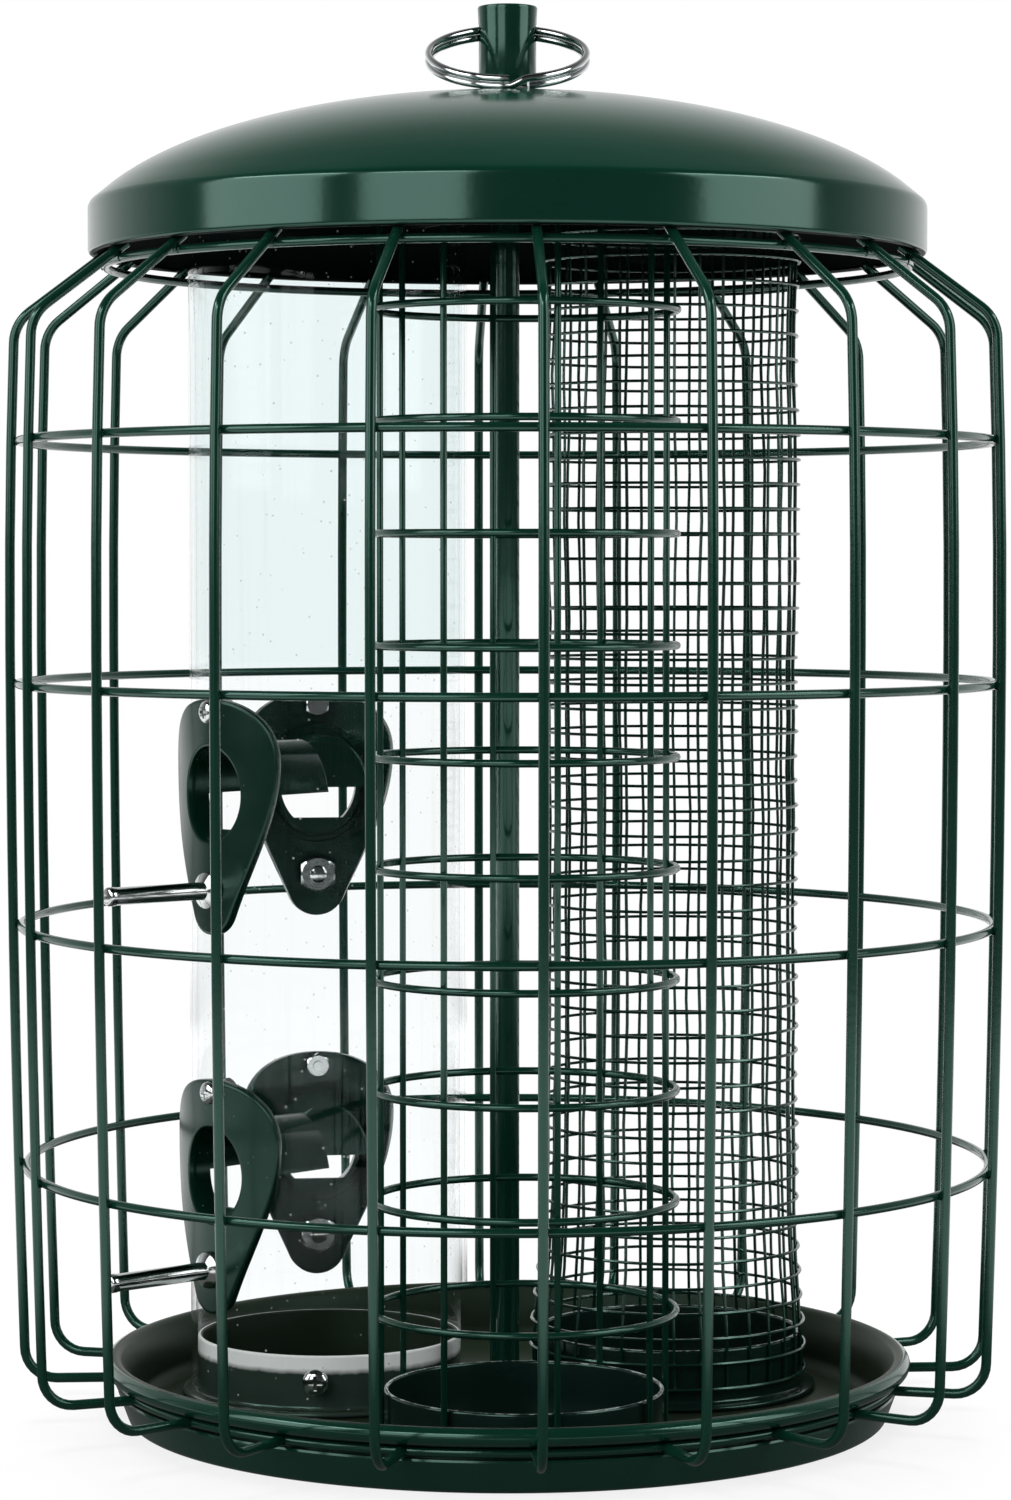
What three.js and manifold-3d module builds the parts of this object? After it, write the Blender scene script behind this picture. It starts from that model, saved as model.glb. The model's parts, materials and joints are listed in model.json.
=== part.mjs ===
// Caged bird feeder: a domed roof over a round wire cage that keeps squirrels away from three
// feeders, a seed tube, a peanut mesh and a fat-ball basket, which stand round a centre post.
// Millimetres, +Z up. The origin is the centre of the tray's underside, which is the resting face.
// Bearings are measured from the front (-Y) towards +X.

import * as THREE from "three";
import { mergeVertices } from "three/addons/utils/BufferGeometryUtils.js";
import Module from "manifold-3d";

const wasm = await Module();
wasm.setup();

const seatGap = 0.3; // between pieces that touch on the real feeder
const cutOverrun = 2; // how far a cutting tool runs past what it cuts
const mergeReach = 1e-4; // corners of a mesh nearer than this are one corner
const degree = Math.PI / 180;
const fullTurn = 2 * Math.PI;

// The cage's belly is the size that the other pieces follow in plan.
const bellyRadius = 125;

// Tray: a pressed steel dish with a rolled lip, and a groove below it for the cage's base ring.
const tray = {
  insideBelly: 29,
  baseCornerRadius: 1.6,
  bandStep: 2.6,
  bandHeight: 8.3,
  grooveStep: 0.6,
  lipHeight: 4.5,
  lipBeadRadius: 2.25,
  lipStep: 5.8,
  height: 16.4,
  sheet: 1.2,
  wallInset: 0.8,
  floorCornerRadius: 4,
  bossRadius: 8,
  bossHeight: 7.4,
  bossDraft: 2,
  segments: 40,
};
tray.baseRadius = bellyRadius - tray.insideBelly;
tray.bandRadius = tray.baseRadius + tray.bandStep;
tray.grooveRadius = tray.baseRadius + tray.grooveStep;
tray.lipReach = tray.baseRadius + tray.lipStep;
tray.wallRadius = tray.baseRadius - tray.wallInset;

// Centre post: one steel rod from under the tray up into the hanger sleeve.
const post = {
  radius: 3,
  bottom: 1,
  topBelowCrossHole: 4.4,
  holeClearance: 0.4,
  segments: 16,
};

const postNut = { acrossFlats: 10, height: 3.4 };
const postWasher = { radius: 6.5, thickness: 1 };

// Cage: twenty bent bars outside six hoops.
const cage = {
  bars: 20,
  firstBarBearing: 3.73,
  barRadius: 1.25,
  barSides: 5,
  hoopRadius: 1.1,
  hoopSides: 4,
  hoopSegments: 40,
  shoulderHeight: 269.5,
  bellyBelowShoulder: 69.5,
  footDrawIn: 2.8,
  shoulderDrawIn: 1.3,
  footBendRadius: 8,
  shoulderBendRadius: 10,
  roofSlope: 37,
  slopeLength: 25,
  topHoopInset: 2.6,
  lowestHoopHeight: 64.7,
  hoopBelowShoulder: 24.2,
  hoops: 4,
  footBendSteps: 3,
  shoulderBendSteps: 2,
  bellySteps: 2,
};
cage.bellyHeight = cage.shoulderHeight - cage.bellyBelowShoulder;
cage.footHeight = (tray.bandHeight + tray.height - tray.lipHeight) / 2;
const hoopSpan = cage.shoulderHeight - cage.hoopBelowShoulder - cage.lowestHoopHeight;
cage.hoopPitch = hoopSpan / (cage.hoops - 1);

// Roof: one spun steel dome with a straight skirt.
const roof = {
  insideBelly: 20.3,
  skirtHeight: 11.2,
  height: 40.4,
  ellipseOverhang: 5.3,
  ellipseBelowHem: 0.6,
  shoulderRadius: 3,
  sheet: 1.2,
  domeSteps: 5,
  segments: 40,
};
roof.radius = bellyRadius - roof.insideBelly;
roof.ellipseHeight = roof.height + roof.ellipseBelowHem;

// Hanger: a sleeve that screws onto the post and clamps the roof, with a split ring through it.
const sleeve = {
  radius: 7.2,
  topFlare: 0.3,
  length: 20.2,
  threadDepth: 6,
  threadRadius: 4.2,
  mouthRadius: 5.4,
  edgeChamfer: 0.5,
  crossHoleRadius: 2.3,
  crossHoleBelowTop: 6.6,
  segments: 20,
};
const roofWasher = { radius: 7, thickness: 1.2 };
const splitRing = {
  turnRadius: 0.95,
  radius: 19.4,
  restingAngle: 25,
  segments: 30,
  lobeSides: 4,
};

// Feeders: three of them on one pitch circle, which reach up under the roof.
const feeders = {
  count: 3,
  firstBearing: 4.5,
  wallClearance: 2.2,
  reachUnderRoof: 11.4,
  collarShare: 0.35714,
};

// Collars: flanged rings on the tray's floor that locate the three feeders.
const collar = {
  radius: tray.wallRadius * feeders.collarShare,
  wall: 1.2,
  flangeWidth: 4,
  rimHeight: 16.4,
  segments: 26,
};
collar.flangeRadius = collar.radius + collar.flangeWidth;
feeders.pitchRadius =
  tray.wallRadius - tray.floorCornerRadius - collar.flangeRadius - feeders.wallClearance;

// Seed tube: clear plastic that slips over its collar, with two levels of two seed ports.
const seedTube = {
  collarClearance: 0.4,
  wall: 1.3,
  segments: 32,
};
seedTube.radius = collar.radius + seedTube.collarClearance + seedTube.wall;
const collarScrew = {
  bearing: -3,
  height: 10.2,
  headRadius: 3.4,
  headHeight: 2.4,
  domeRadiusShares: [1, 0.8, 0.35, 0],
  domeHeightShares: [0, 0.65, 1, 1],
  shankRadius: 1.8,
  shankLength: 6,
  segments: 8,
};
const port = {
  levels: 2,
  lowestHoleHeight: 61,
  levelPitch: 96,
  turn: 5,
  spread: 62,
  shieldHeight: 59.5,
  shieldHalfWidth: 20,
  shieldThickness: 2.8,
  tipRadius: 7.5,
  tipLean: 25,
  widestShare: 0.74,
  flankShares: [0.3, 0.5],
  flankWidthShare: 0.62,
  crownWidthShare: 0.6,
  crownDropShare: 0.1,
  holeHeightShare: 0.5966,
  holeHalfWidth: 10,
  holeHalfHeight: 12,
  spigotWall: 1.1,
  spigotInnerReach: 5,
  hoodReachShare: 0.664,
  noseLength: 6,
  damBelowCentre: 8.8,
  screwBelowCrown: 3.3,
  perchAboveTip: 11.3,
  shieldFacets: 32,
};
port.holeAboveTip = port.shieldHeight * port.holeHeightShare;
port.holeBelowCrown = port.shieldHeight - port.holeAboveTip;
port.screwAboveHole = port.holeBelowCrown - port.screwBelowCrown;
port.perchBelowHole = port.holeAboveTip - port.perchAboveTip;
const portScrew = {
  headRadius: 2.9,
  headHeight: 1.6,
  shankRadius: 1.4,
  nutRadius: 3.2,
  nutHeight: 2.2,
};
const perch = {
  radius: 2,
  reach: 31,
  endChamfer: 0.5,
  collarRadius: 4.7,
  collarThickness: 1.8,
  shankBehindNut: 1.4,
  segments: 8,
};
const perchNut = { acrossFlats: 8, height: 2.6 };

// Fat-ball basket: rings welded round upright wires that stand over their collar.
const basket = {
  ringWireRadius: 0.95,
  ringSides: 4,
  ringSegments: 16,
  uprightWireRadius: 0.8,
  uprightClearance: 0.4,
  uprightSides: 4,
  uprights: 8,
  firstUprightBearing: 8,
  weldDepth: 0.35,
  bottomRingHeight: 35.2,
  topRingDrop: 0.8,
  rings: 11,
};

// Peanut mesh: a tube of welded net that widens at its foot to slip over its collar.
const net = {
  insideCollar: 1.3,
  strand: 1.1,
  footClearance: 0.4,
  footHeight: 6.2,
  flareTop: 70,
  columns: 14,
  rows: 13,
};
net.radius = collar.radius - net.insideCollar;

// Geometry helpers

function solidOf(geometry) {
  const bare = geometry.clone();
  bare.deleteAttribute("normal");
  bare.deleteAttribute("uv");
  const merged = mergeVertices(bare, mergeReach);
  const corners = merged.index.array;
  const kept = [];
  for (let i = 0; i < corners.length; i += 3) {
    const [a, b, c] = [corners[i], corners[i + 1], corners[i + 2]];
    if (a !== b && b !== c && c !== a) kept.push(a, b, c);
  }
  return new wasm.Manifold(
    new wasm.Mesh({
      numProp: 3,
      vertProperties: merged.attributes.position.array,
      triVerts: new Uint32Array(kept),
    }),
  );
}

function geometryOf(solid) {
  const mesh = solid.getMesh();
  const geometry = new THREE.BufferGeometry();
  geometry.setAttribute("position", new THREE.BufferAttribute(mesh.vertProperties, 3));
  geometry.setIndex(new THREE.BufferAttribute(mesh.triVerts, 1));
  return geometry;
}

function joined(geometries) {
  return geometryOf(geometries.map(solidOf).reduce((all, next) => all.add(next)));
}

function cutFrom(geometry, tools) {
  return geometryOf(tools.map(solidOf).reduce((left, tool) => left.subtract(tool), solidOf(geometry)));
}

function commonOf(first, second) {
  return geometryOf(solidOf(first).intersect(solidOf(second)));
}

// A profile of [radius, height] points, anticlockwise, turned about Z.
function turned(profile, segments) {
  const points = profile.map(([radius, height]) => new THREE.Vector2(radius, height));
  points.push(points[0].clone());
  return new THREE.LatheGeometry(points, segments).rotateX(Math.PI / 2);
}

function rodAlongZ(radius, bottom, top, segments) {
  return new THREE.CylinderGeometry(radius, radius, top - bottom, segments)
    .rotateX(Math.PI / 2)
    .translate(0, 0, (bottom + top) / 2);
}

function rodAlongX(radius, inner, outer, segments) {
  return new THREE.CylinderGeometry(radius, radius, outer - inner, segments)
    .rotateZ(-Math.PI / 2)
    .translate((inner + outer) / 2, 0, 0);
}

function washerAlongZ(innerRadius, outerRadius, bottom, top, segments) {
  return turned(
    [
      [innerRadius, bottom],
      [outerRadius, bottom],
      [outerRadius, top],
      [innerRadius, top],
    ],
    segments,
  );
}

// A flat outline in Y and Z, given thickness along X.
function slabAlongX(shape, inner, outer) {
  return new THREE.ExtrudeGeometry(shape, {
    depth: outer - inner,
    bevelEnabled: false,
    curveSegments: 3,
  })
    .rotateX(Math.PI / 2)
    .rotateZ(Math.PI / 2)
    .translate(inner, 0, 0);
}

// A flat outline in X and Z, given thickness along Y to both sides of the XZ plane.
function slabAcrossY(shape, halfWidth) {
  return new THREE.ExtrudeGeometry(shape, {
    depth: 2 * halfWidth,
    bevelEnabled: false,
    curveSegments: 2,
  })
    .rotateX(Math.PI / 2)
    .translate(0, halfWidth, 0);
}

function hexShape(acrossFlats, boreRadius) {
  const shape = new THREE.Shape();
  const corner = acrossFlats / 2 / Math.cos(30 * degree);
  for (let i = 0; i < 6; i += 1) {
    shape.lineTo(corner * Math.cos(i * 60 * degree), corner * Math.sin(i * 60 * degree));
  }
  shape.curves.shift();
  shape.closePath();
  const facetedBore = boreRadius / Math.cos(30 * degree);
  shape.holes.push(new THREE.Path().absarc(0, 0, facetedBore, 0, fullTurn, true));
  return shape;
}

// A round wire bent in the XZ plane through a list of points.
function bentWire(points, radius, sides) {
  const positions = [];
  const last = points.length - 1;
  points.forEach((point, i) => {
    const before = points[Math.max(i - 1, 0)];
    const after = points[Math.min(i + 1, last)];
    const arriving = point.clone().sub(before);
    const leaving = after.clone().sub(point);
    if (i === 0) arriving.copy(leaving);
    if (i === last) leaving.copy(arriving);
    const tangent = arriving.normalize().add(leaving.normalize());
    const mitre = 2 / tangent.length();
    tangent.normalize();
    for (let side = 0; side < sides; side += 1) {
      const angle = ((side + 0.5) / sides) * fullTurn;
      const inPlane = radius * mitre * Math.cos(angle);
      positions.push(
        point.x + tangent.y * inPlane,
        radius * Math.sin(angle),
        point.y - tangent.x * inPlane,
      );
    }
  });
  const index = [];
  for (let i = 0; i < last; i += 1) {
    for (let side = 0; side < sides; side += 1) {
      const a = i * sides + side;
      const b = i * sides + ((side + 1) % sides);
      index.push(a, b, b + sides, a, b + sides, a + sides);
    }
  }
  for (let side = 1; side < sides - 1; side += 1) {
    const end = last * sides;
    index.push(0, side + 1, side);
    index.push(end, end + side, end + side + 1);
  }
  const geometry = new THREE.BufferGeometry();
  geometry.setAttribute("position", new THREE.Float32BufferAttribute(positions, 3));
  geometry.setIndex(index);
  return geometry;
}

function bearingTurn(bearing) {
  return (bearing - 90) * degree;
}

function atBearing(radius, bearing, height) {
  return new THREE.Vector3(
    radius * Math.sin(bearing * degree),
    -radius * Math.cos(bearing * degree),
    height,
  );
}

// Finishes

const finishes = {
  greenPaint: { color: 0x0c3b2c, roughness: 0.22, metalness: 0 },
  darkGreenPaint: { color: 0x0b241d, roughness: 0.3, metalness: 0 },
  greenPlastic: { color: 0x0b3a2c, roughness: 0.25, metalness: 0 },
  clearPlastic: { color: 0xdfeae4, roughness: 0.05, metalness: 0, transparent: true, opacity: 0.3 },
  brightSteel: { color: 0xc9ced0, roughness: 0.18, metalness: 1 },
  zincSteel: { color: 0xa9b0b3, roughness: 0.3, metalness: 1 },
  blackRubber: { color: 0x161a19, roughness: 0.7, metalness: 0 },
};

const feeder = new THREE.Group();

function addPiece(name, geometry, finish, parent = feeder) {
  const mesh = new THREE.Mesh(geometry, new THREE.MeshStandardMaterial(finishes[finish]));
  mesh.name = name;
  parent.add(mesh);
  return mesh;
}

// Tray

function trayGeometry() {
  const lipBottom = tray.height - tray.lipHeight;
  const beadCentre = [tray.lipReach - tray.lipBeadRadius, tray.height - tray.lipBeadRadius];
  const profile = [
    [post.radius + post.holeClearance, tray.bossHeight - tray.sheet],
    [tray.bossRadius, tray.bossHeight - tray.sheet],
    [tray.bossRadius + tray.bossDraft, 0],
    [tray.baseRadius - tray.baseCornerRadius, 0],
    [tray.baseRadius, tray.baseCornerRadius],
    [tray.bandRadius, tray.bandHeight],
    [tray.grooveRadius, tray.bandHeight],
    [tray.grooveRadius, lipBottom],
  ];
  for (let angle = -90; angle <= 180; angle += 67.5) {
    profile.push([
      beadCentre[0] + tray.lipBeadRadius * Math.cos(angle * degree),
      beadCentre[1] + tray.lipBeadRadius * Math.sin(angle * degree),
    ]);
  }
  profile.push([tray.wallRadius, lipBottom]);
  for (let angle = 0; angle >= -90; angle -= 45) {
    profile.push([
      tray.wallRadius - tray.floorCornerRadius + tray.floorCornerRadius * Math.cos(angle * degree),
      tray.sheet + tray.floorCornerRadius + tray.floorCornerRadius * Math.sin(angle * degree),
    ]);
  }
  profile.push(
    [tray.bossRadius + tray.bossDraft + tray.sheet, tray.sheet],
    [tray.bossRadius + tray.sheet, tray.bossHeight],
    [post.radius + post.holeClearance, tray.bossHeight],
  );
  return turned(profile, tray.segments);
}

addPiece("tray", trayGeometry(), "darkGreenPaint");

// Cage

function barRadiusAt(height) {
  const rise = height - cage.bellyHeight;
  if (rise < 0) {
    const fall = cage.bellyHeight - cage.footHeight - cage.footBendRadius;
    return bellyRadius - cage.footDrawIn * (rise / fall) ** 2;
  }
  const climb = cage.shoulderHeight - cage.bellyHeight;
  return bellyRadius - cage.shoulderDrawIn * (rise / climb) ** 2;
}

function hoopRadiusAt(height) {
  return barRadiusAt(height) - cage.barRadius - seatGap - cage.hoopRadius;
}

const hoopHeights = [];
for (let i = 0; i < cage.hoops; i += 1) {
  hoopHeights.push(cage.lowestHoopHeight + i * cage.hoopPitch);
}

const baseHoopRadius = tray.grooveRadius + seatGap + cage.hoopRadius;
const footEnd = baseHoopRadius + cage.hoopRadius + seatGap;
const slopeAlong = new THREE.Vector2(
  -Math.cos(cage.roofSlope * degree),
  Math.sin(cage.roofSlope * degree),
);
const slopeOut = new THREE.Vector2(
  Math.sin(cage.roofSlope * degree),
  Math.cos(cage.roofSlope * degree),
);
const bendTurn = 90 - cage.roofSlope;
const shoulderCentre = new THREE.Vector2(
  bellyRadius - cage.shoulderDrawIn - cage.shoulderBendRadius,
  cage.shoulderHeight,
);
const slopeStart = new THREE.Vector2(
  Math.cos(bendTurn * degree),
  Math.sin(bendTurn * degree),
)
  .multiplyScalar(cage.shoulderBendRadius)
  .add(shoulderCentre);
const slopeEnd = slopeStart.clone().addScaledVector(slopeAlong, cage.slopeLength);
const topHoop = slopeEnd
  .clone()
  .addScaledVector(slopeAlong, -cage.topHoopInset)
  .addScaledVector(slopeOut, -(cage.barRadius + seatGap + cage.hoopRadius));

// Height of the top of a bar's slope at a radius from the axis.
function slopeTopAt(radius) {
  const rise = (slopeStart.x - radius) * Math.tan(cage.roofSlope * degree);
  return slopeStart.y + rise + cage.barRadius / Math.cos(cage.roofSlope * degree);
}

function barPoints() {
  const footBendTop = cage.footHeight + cage.footBendRadius;
  const footCentre = new THREE.Vector2(
    bellyRadius - cage.footDrawIn - cage.footBendRadius,
    footBendTop,
  );
  const points = [new THREE.Vector2(footEnd, cage.footHeight)];
  for (let i = 0; i <= cage.footBendSteps; i += 1) {
    const angle = (-90 + (90 * i) / cage.footBendSteps) * degree;
    points.push(
      new THREE.Vector2(Math.cos(angle), Math.sin(angle))
        .multiplyScalar(cage.footBendRadius)
        .add(footCentre),
    );
  }
  const stretch = (cage.shoulderHeight - footBendTop) / (cage.bellySteps + 1);
  for (let i = 1; i <= cage.bellySteps; i += 1) {
    const height = footBendTop + i * stretch;
    points.push(new THREE.Vector2(barRadiusAt(height), height));
  }
  for (let i = 0; i <= cage.shoulderBendSteps; i += 1) {
    const angle = ((bendTurn * i) / cage.shoulderBendSteps) * degree;
    points.push(
      new THREE.Vector2(Math.cos(angle), Math.sin(angle))
        .multiplyScalar(cage.shoulderBendRadius)
        .add(shoulderCentre),
    );
  }
  points.push(slopeEnd);
  return points;
}

const barGeometry = bentWire(barPoints(), cage.barRadius, cage.barSides);
for (let i = 0; i < cage.bars; i += 1) {
  const bar = addPiece("cage_bar_" + String(i + 1).padStart(2, "0"), barGeometry, "greenPaint");
  bar.rotation.z = bearingTurn(cage.firstBarBearing + (i * 360) / cage.bars);
}

function addHoop(name, radius, height) {
  const hoop = addPiece(
    name,
    new THREE.TorusGeometry(radius, cage.hoopRadius, cage.hoopSides, cage.hoopSegments),
    "greenPaint",
  );
  hoop.rotation.z = bearingTurn(cage.firstBarBearing);
  hoop.position.z = height;
}

addHoop("cage_base_hoop", baseHoopRadius, cage.footHeight);
hoopHeights.forEach((height, i) => addHoop("cage_hoop_" + (i + 1), hoopRadiusAt(height), height));
addHoop("cage_top_hoop", topHoop.x, topHoop.y);

// Roof

const roofBottom = slopeTopAt(roof.radius - roof.sheet) + seatGap;
const roofTop = roofBottom + roof.height;

function roofGeometry() {
  const holeRadius = post.radius + post.holeClearance;
  const ellipseCentre = roofTop - roof.ellipseHeight;
  const shoulderBottom = roofBottom + roof.skirtHeight;
  const profile = [[roof.radius, roofBottom]];
  const shoulderTurn = 45;
  for (let angle = 0; angle <= shoulderTurn; angle += shoulderTurn / 2) {
    profile.push([
      roof.radius - roof.shoulderRadius + roof.shoulderRadius * Math.cos(angle * degree),
      shoulderBottom + roof.shoulderRadius * Math.sin(angle * degree),
    ]);
  }
  const domeEdge = roof.radius - roof.shoulderRadius * (1 - Math.cos(shoulderTurn * degree));
  const domeRadii = [];
  for (let i = 1; i <= roof.domeSteps; i += 1) {
    domeRadii.push(domeEdge + ((holeRadius - domeEdge) * i) / roof.domeSteps);
  }
  const ellipseReach = roof.radius + roof.ellipseOverhang;
  const heightAt = (radius, drop) =>
    ellipseCentre +
    (roof.ellipseHeight - drop) * Math.sqrt(1 - (radius / (ellipseReach - drop)) ** 2);
  domeRadii.forEach((radius) => profile.push([radius, heightAt(radius, 0)]));
  domeRadii.reverse().forEach((radius) => profile.push([radius, heightAt(radius, roof.sheet)]));
  profile.push(
    [domeEdge - roof.sheet, heightAt(domeEdge - roof.sheet, roof.sheet)],
    [roof.radius - roof.sheet, shoulderBottom],
    [roof.radius - roof.sheet, roofBottom],
  );
  return turned(profile, roof.segments);
}

addPiece("roof", roofGeometry(), "greenPaint");

// Hanger

const washerBottom = roofTop + seatGap;
const sleeveBottom = washerBottom + roofWasher.thickness + seatGap;
const sleeveTop = sleeveBottom + sleeve.length;
const crossHoleHeight = sleeveTop - sleeve.crossHoleBelowTop;
const postTop = crossHoleHeight - post.topBelowCrossHole;

addPiece(
  "roof_washer",
  washerAlongZ(
    post.radius + post.holeClearance,
    roofWasher.radius,
    washerBottom,
    washerBottom + roofWasher.thickness,
    sleeve.segments,
  ),
  "blackRubber",
);

function sleeveGeometry() {
  const flareRadius = sleeve.radius + sleeve.topFlare;
  const body = turned(
    [
      [sleeve.threadRadius, sleeveBottom],
      [sleeve.radius - sleeve.edgeChamfer, sleeveBottom],
      [sleeve.radius, sleeveBottom + sleeve.edgeChamfer],
      [sleeve.radius, sleeveTop - sleeve.crossHoleBelowTop],
      [flareRadius, sleeveTop - sleeve.edgeChamfer],
      [flareRadius - sleeve.edgeChamfer, sleeveTop],
      [sleeve.mouthRadius, sleeveTop],
      [sleeve.mouthRadius, sleeveBottom + sleeve.threadDepth],
      [sleeve.threadRadius, sleeveBottom + sleeve.threadDepth],
    ],
    sleeve.segments,
  );
  const reach = flareRadius + cutOverrun;
  const crossHole = rodAlongX(sleeve.crossHoleRadius, -reach, reach, 16);
  return cutFrom(body, [crossHole.translate(0, 0, crossHoleHeight)]);
}

addPiece("hanger_sleeve", sleeveGeometry(), "greenPaint");

// Two turns of wire lie one on the other, so the section is two lobes that meet at a waist.
function splitRingGeometry() {
  const profile = [];
  const waist = 30;
  [-1, 1].forEach((side) => {
    const start = side < 0 ? 180 + waist : -waist;
    for (let i = 0; i <= splitRing.lobeSides; i += 1) {
      const angle = (start + (i * (180 + 2 * waist)) / splitRing.lobeSides) * degree;
      if (side > 0 && i === 0) continue;
      if (side > 0 && i === splitRing.lobeSides) continue;
      profile.push([
        splitRing.radius + splitRing.turnRadius * Math.cos(angle),
        splitRing.turnRadius * (side * Math.sin(waist * degree) + Math.sin(angle)),
      ]);
    }
  });
  return turned(profile, splitRing.segments);
}

// The wire bows inside the sleeve, so the ring is set out by half of that bow.
const bowInSleeve =
  splitRing.radius - Math.sqrt(splitRing.radius ** 2 - sleeve.radius ** 2);
const hang = new THREE.Group();
hang.position.z = crossHoleHeight;
hang.rotation.x = splitRing.restingAngle * degree;
feeder.add(hang);
const ring = addPiece("hanging_ring", splitRingGeometry(), "brightSteel", hang);
ring.position.y = -(splitRing.radius - bowInSleeve / 2);

// Post

addPiece("centre_post", rodAlongZ(post.radius, post.bottom, postTop, post.segments), "greenPaint");

function nutAlongZ(nut, boreRadius, bottom) {
  return new THREE.ExtrudeGeometry(hexShape(nut.acrossFlats, boreRadius), {
    depth: nut.height,
    bevelEnabled: false,
    curveSegments: 8,
  }).translate(0, 0, bottom);
}

const nutBore = post.radius + seatGap / 2;
const underBoss = tray.bossHeight - tray.sheet;
const washerUnder = underBoss - seatGap - postWasher.thickness;
addPiece(
  "post_washer",
  washerAlongZ(
    post.radius + post.holeClearance,
    postWasher.radius,
    washerUnder,
    washerUnder + postWasher.thickness,
    post.segments,
  ),
  "zincSteel",
);
addPiece(
  "post_nut",
  nutAlongZ(postNut, nutBore, washerUnder - seatGap / 2 - postNut.height),
  "zincSteel",
);
addPiece("post_lock_nut", nutAlongZ(postNut, nutBore, tray.bossHeight + seatGap), "zincSteel");

// Collars

const flangeBottom = tray.sheet + seatGap;
const flangeTop = flangeBottom + collar.wall;
const feedersTop = roofBottom + feeders.reachUnderRoof;

function plainCollar() {
  const rimBead = collar.wall / 2;
  return turned(
    [
      [collar.radius - collar.wall, flangeBottom],
      [collar.flangeRadius, flangeBottom],
      [collar.flangeRadius, flangeTop],
      [collar.radius, flangeTop],
      [collar.radius, collar.rimHeight - rimBead],
      [collar.radius - rimBead, collar.rimHeight],
      [collar.radius - collar.wall, collar.rimHeight - rimBead],
    ],
    collar.segments,
  );
}

function drilledCollar() {
  const screwTool = rodAlongX(
    collarScrew.shankRadius + seatGap / 2,
    collar.radius - collar.wall - cutOverrun,
    collar.radius + cutOverrun,
    collarScrew.segments,
  ).translate(0, 0, collarScrew.height);
  return cutFrom(plainCollar(), [screwTool]);
}

const feederSpacing = 360 / feeders.count;
const bearings = {
  fatBall: feeders.firstBearing,
  peanut: feeders.firstBearing + feederSpacing,
  seed: feeders.firstBearing - feederSpacing,
};

// A feeder's group stands on the pitch circle with its own +X pointing out from the post.
function feederGroup(bearing) {
  const group = new THREE.Group();
  group.position.copy(atBearing(feeders.pitchRadius, bearing, 0));
  group.rotation.z = bearingTurn(bearing);
  feeder.add(group);
  return group;
}

const seedGroup = feederGroup(bearings.seed);
const peanutGroup = feederGroup(bearings.peanut);
const fatBallGroup = feederGroup(bearings.fatBall);
addPiece("peanut_collar", plainCollar(), "darkGreenPaint", peanutGroup);
addPiece("fat_ball_collar", plainCollar(), "darkGreenPaint", fatBallGroup);

// The collar screw faces the front, so its hole is turned there with the collar.
const screwTurn = new THREE.Group();
screwTurn.rotation.z = bearingTurn(collarScrew.bearing) - bearingTurn(bearings.seed);
seedGroup.add(screwTurn);
addPiece("seed_collar", drilledCollar(), "darkGreenPaint", screwTurn);

// Domed head outside the tube, plain shank through the tube and the collar.
function collarScrewGeometry() {
  const points = [
    new THREE.Vector2(0, -collarScrew.shankLength),
    new THREE.Vector2(collarScrew.shankRadius, -collarScrew.shankLength),
    new THREE.Vector2(collarScrew.shankRadius, 0),
  ];
  collarScrew.domeRadiusShares.forEach((radiusShare, i) => {
    const heightShare = collarScrew.domeHeightShares[i];
    points.push(
      new THREE.Vector2(
        collarScrew.headRadius * radiusShare,
        collarScrew.headHeight * heightShare,
      ),
    );
  });
  return new THREE.LatheGeometry(points, collarScrew.segments)
    .rotateZ(-Math.PI / 2)
    .translate(seedTube.radius + seatGap, 0, 0);
}
addPiece("collar_screw", collarScrewGeometry(), "brightSteel", screwTurn).position.z =
  collarScrew.height;

// Seed tube and its ports

// An upright oval: two half circles with straight flanks.
function ovalShape(halfWidth, halfHeight) {
  const flank = halfHeight - halfWidth;
  const shape = new THREE.Shape();
  shape.absarc(0, flank, halfWidth, 0, Math.PI, false);
  shape.absarc(0, -flank, halfWidth, Math.PI, fullTurn, false);
  shape.closePath();
  return shape;
}

const portHeights = [];
for (let level = 0; level < port.levels; level += 1) {
  portHeights.push(port.lowestHoleHeight + level * port.levelPitch);
}
const portTurns = [port.turn - port.spread, port.turn + port.spread];
const spigotHalfWidth = port.holeHalfWidth + port.spigotWall;
const spigotHalfHeight = port.holeHalfHeight + port.spigotWall;

function seedTubeGeometry() {
  const innerRadius = seedTube.radius - seedTube.wall;
  const body = washerAlongZ(
    innerRadius,
    seedTube.radius,
    flangeTop + seatGap,
    feedersTop,
    seedTube.segments,
  );
  const inner = innerRadius - 3 * cutOverrun;
  const outer = seedTube.radius + cutOverrun;
  const tools = [];
  portHeights.forEach((height) => {
    portTurns.forEach((turn) => {
      const place = (tool, rise) => tool.translate(0, 0, height + rise).rotateZ(turn * degree);
      const opening = ovalShape(spigotHalfWidth + seatGap, spigotHalfHeight + seatGap);
      tools.push(
        place(slabAlongX(opening, inner, outer), 0),
        place(rodAlongX(portScrew.shankRadius + seatGap, inner, outer, 6), port.screwAboveHole),
        place(rodAlongX(perch.radius + seatGap, inner, outer, 6), -port.perchBelowHole),
      );
    });
  });
  tools.push(
    rodAlongX(collarScrew.shankRadius + seatGap, inner, outer, 6)
      .translate(0, 0, collarScrew.height)
      .rotateZ(screwTurn.rotation.z),
  );
  return cutFrom(body, tools);
}

addPiece("seed_tube", seedTubeGeometry(), "clearPlastic", seedGroup);

const shieldInner = seedTube.radius + seatGap;
const shieldOuter = shieldInner + port.shieldThickness;
const hoodReach = seedTube.radius * port.hoodReachShare;

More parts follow.
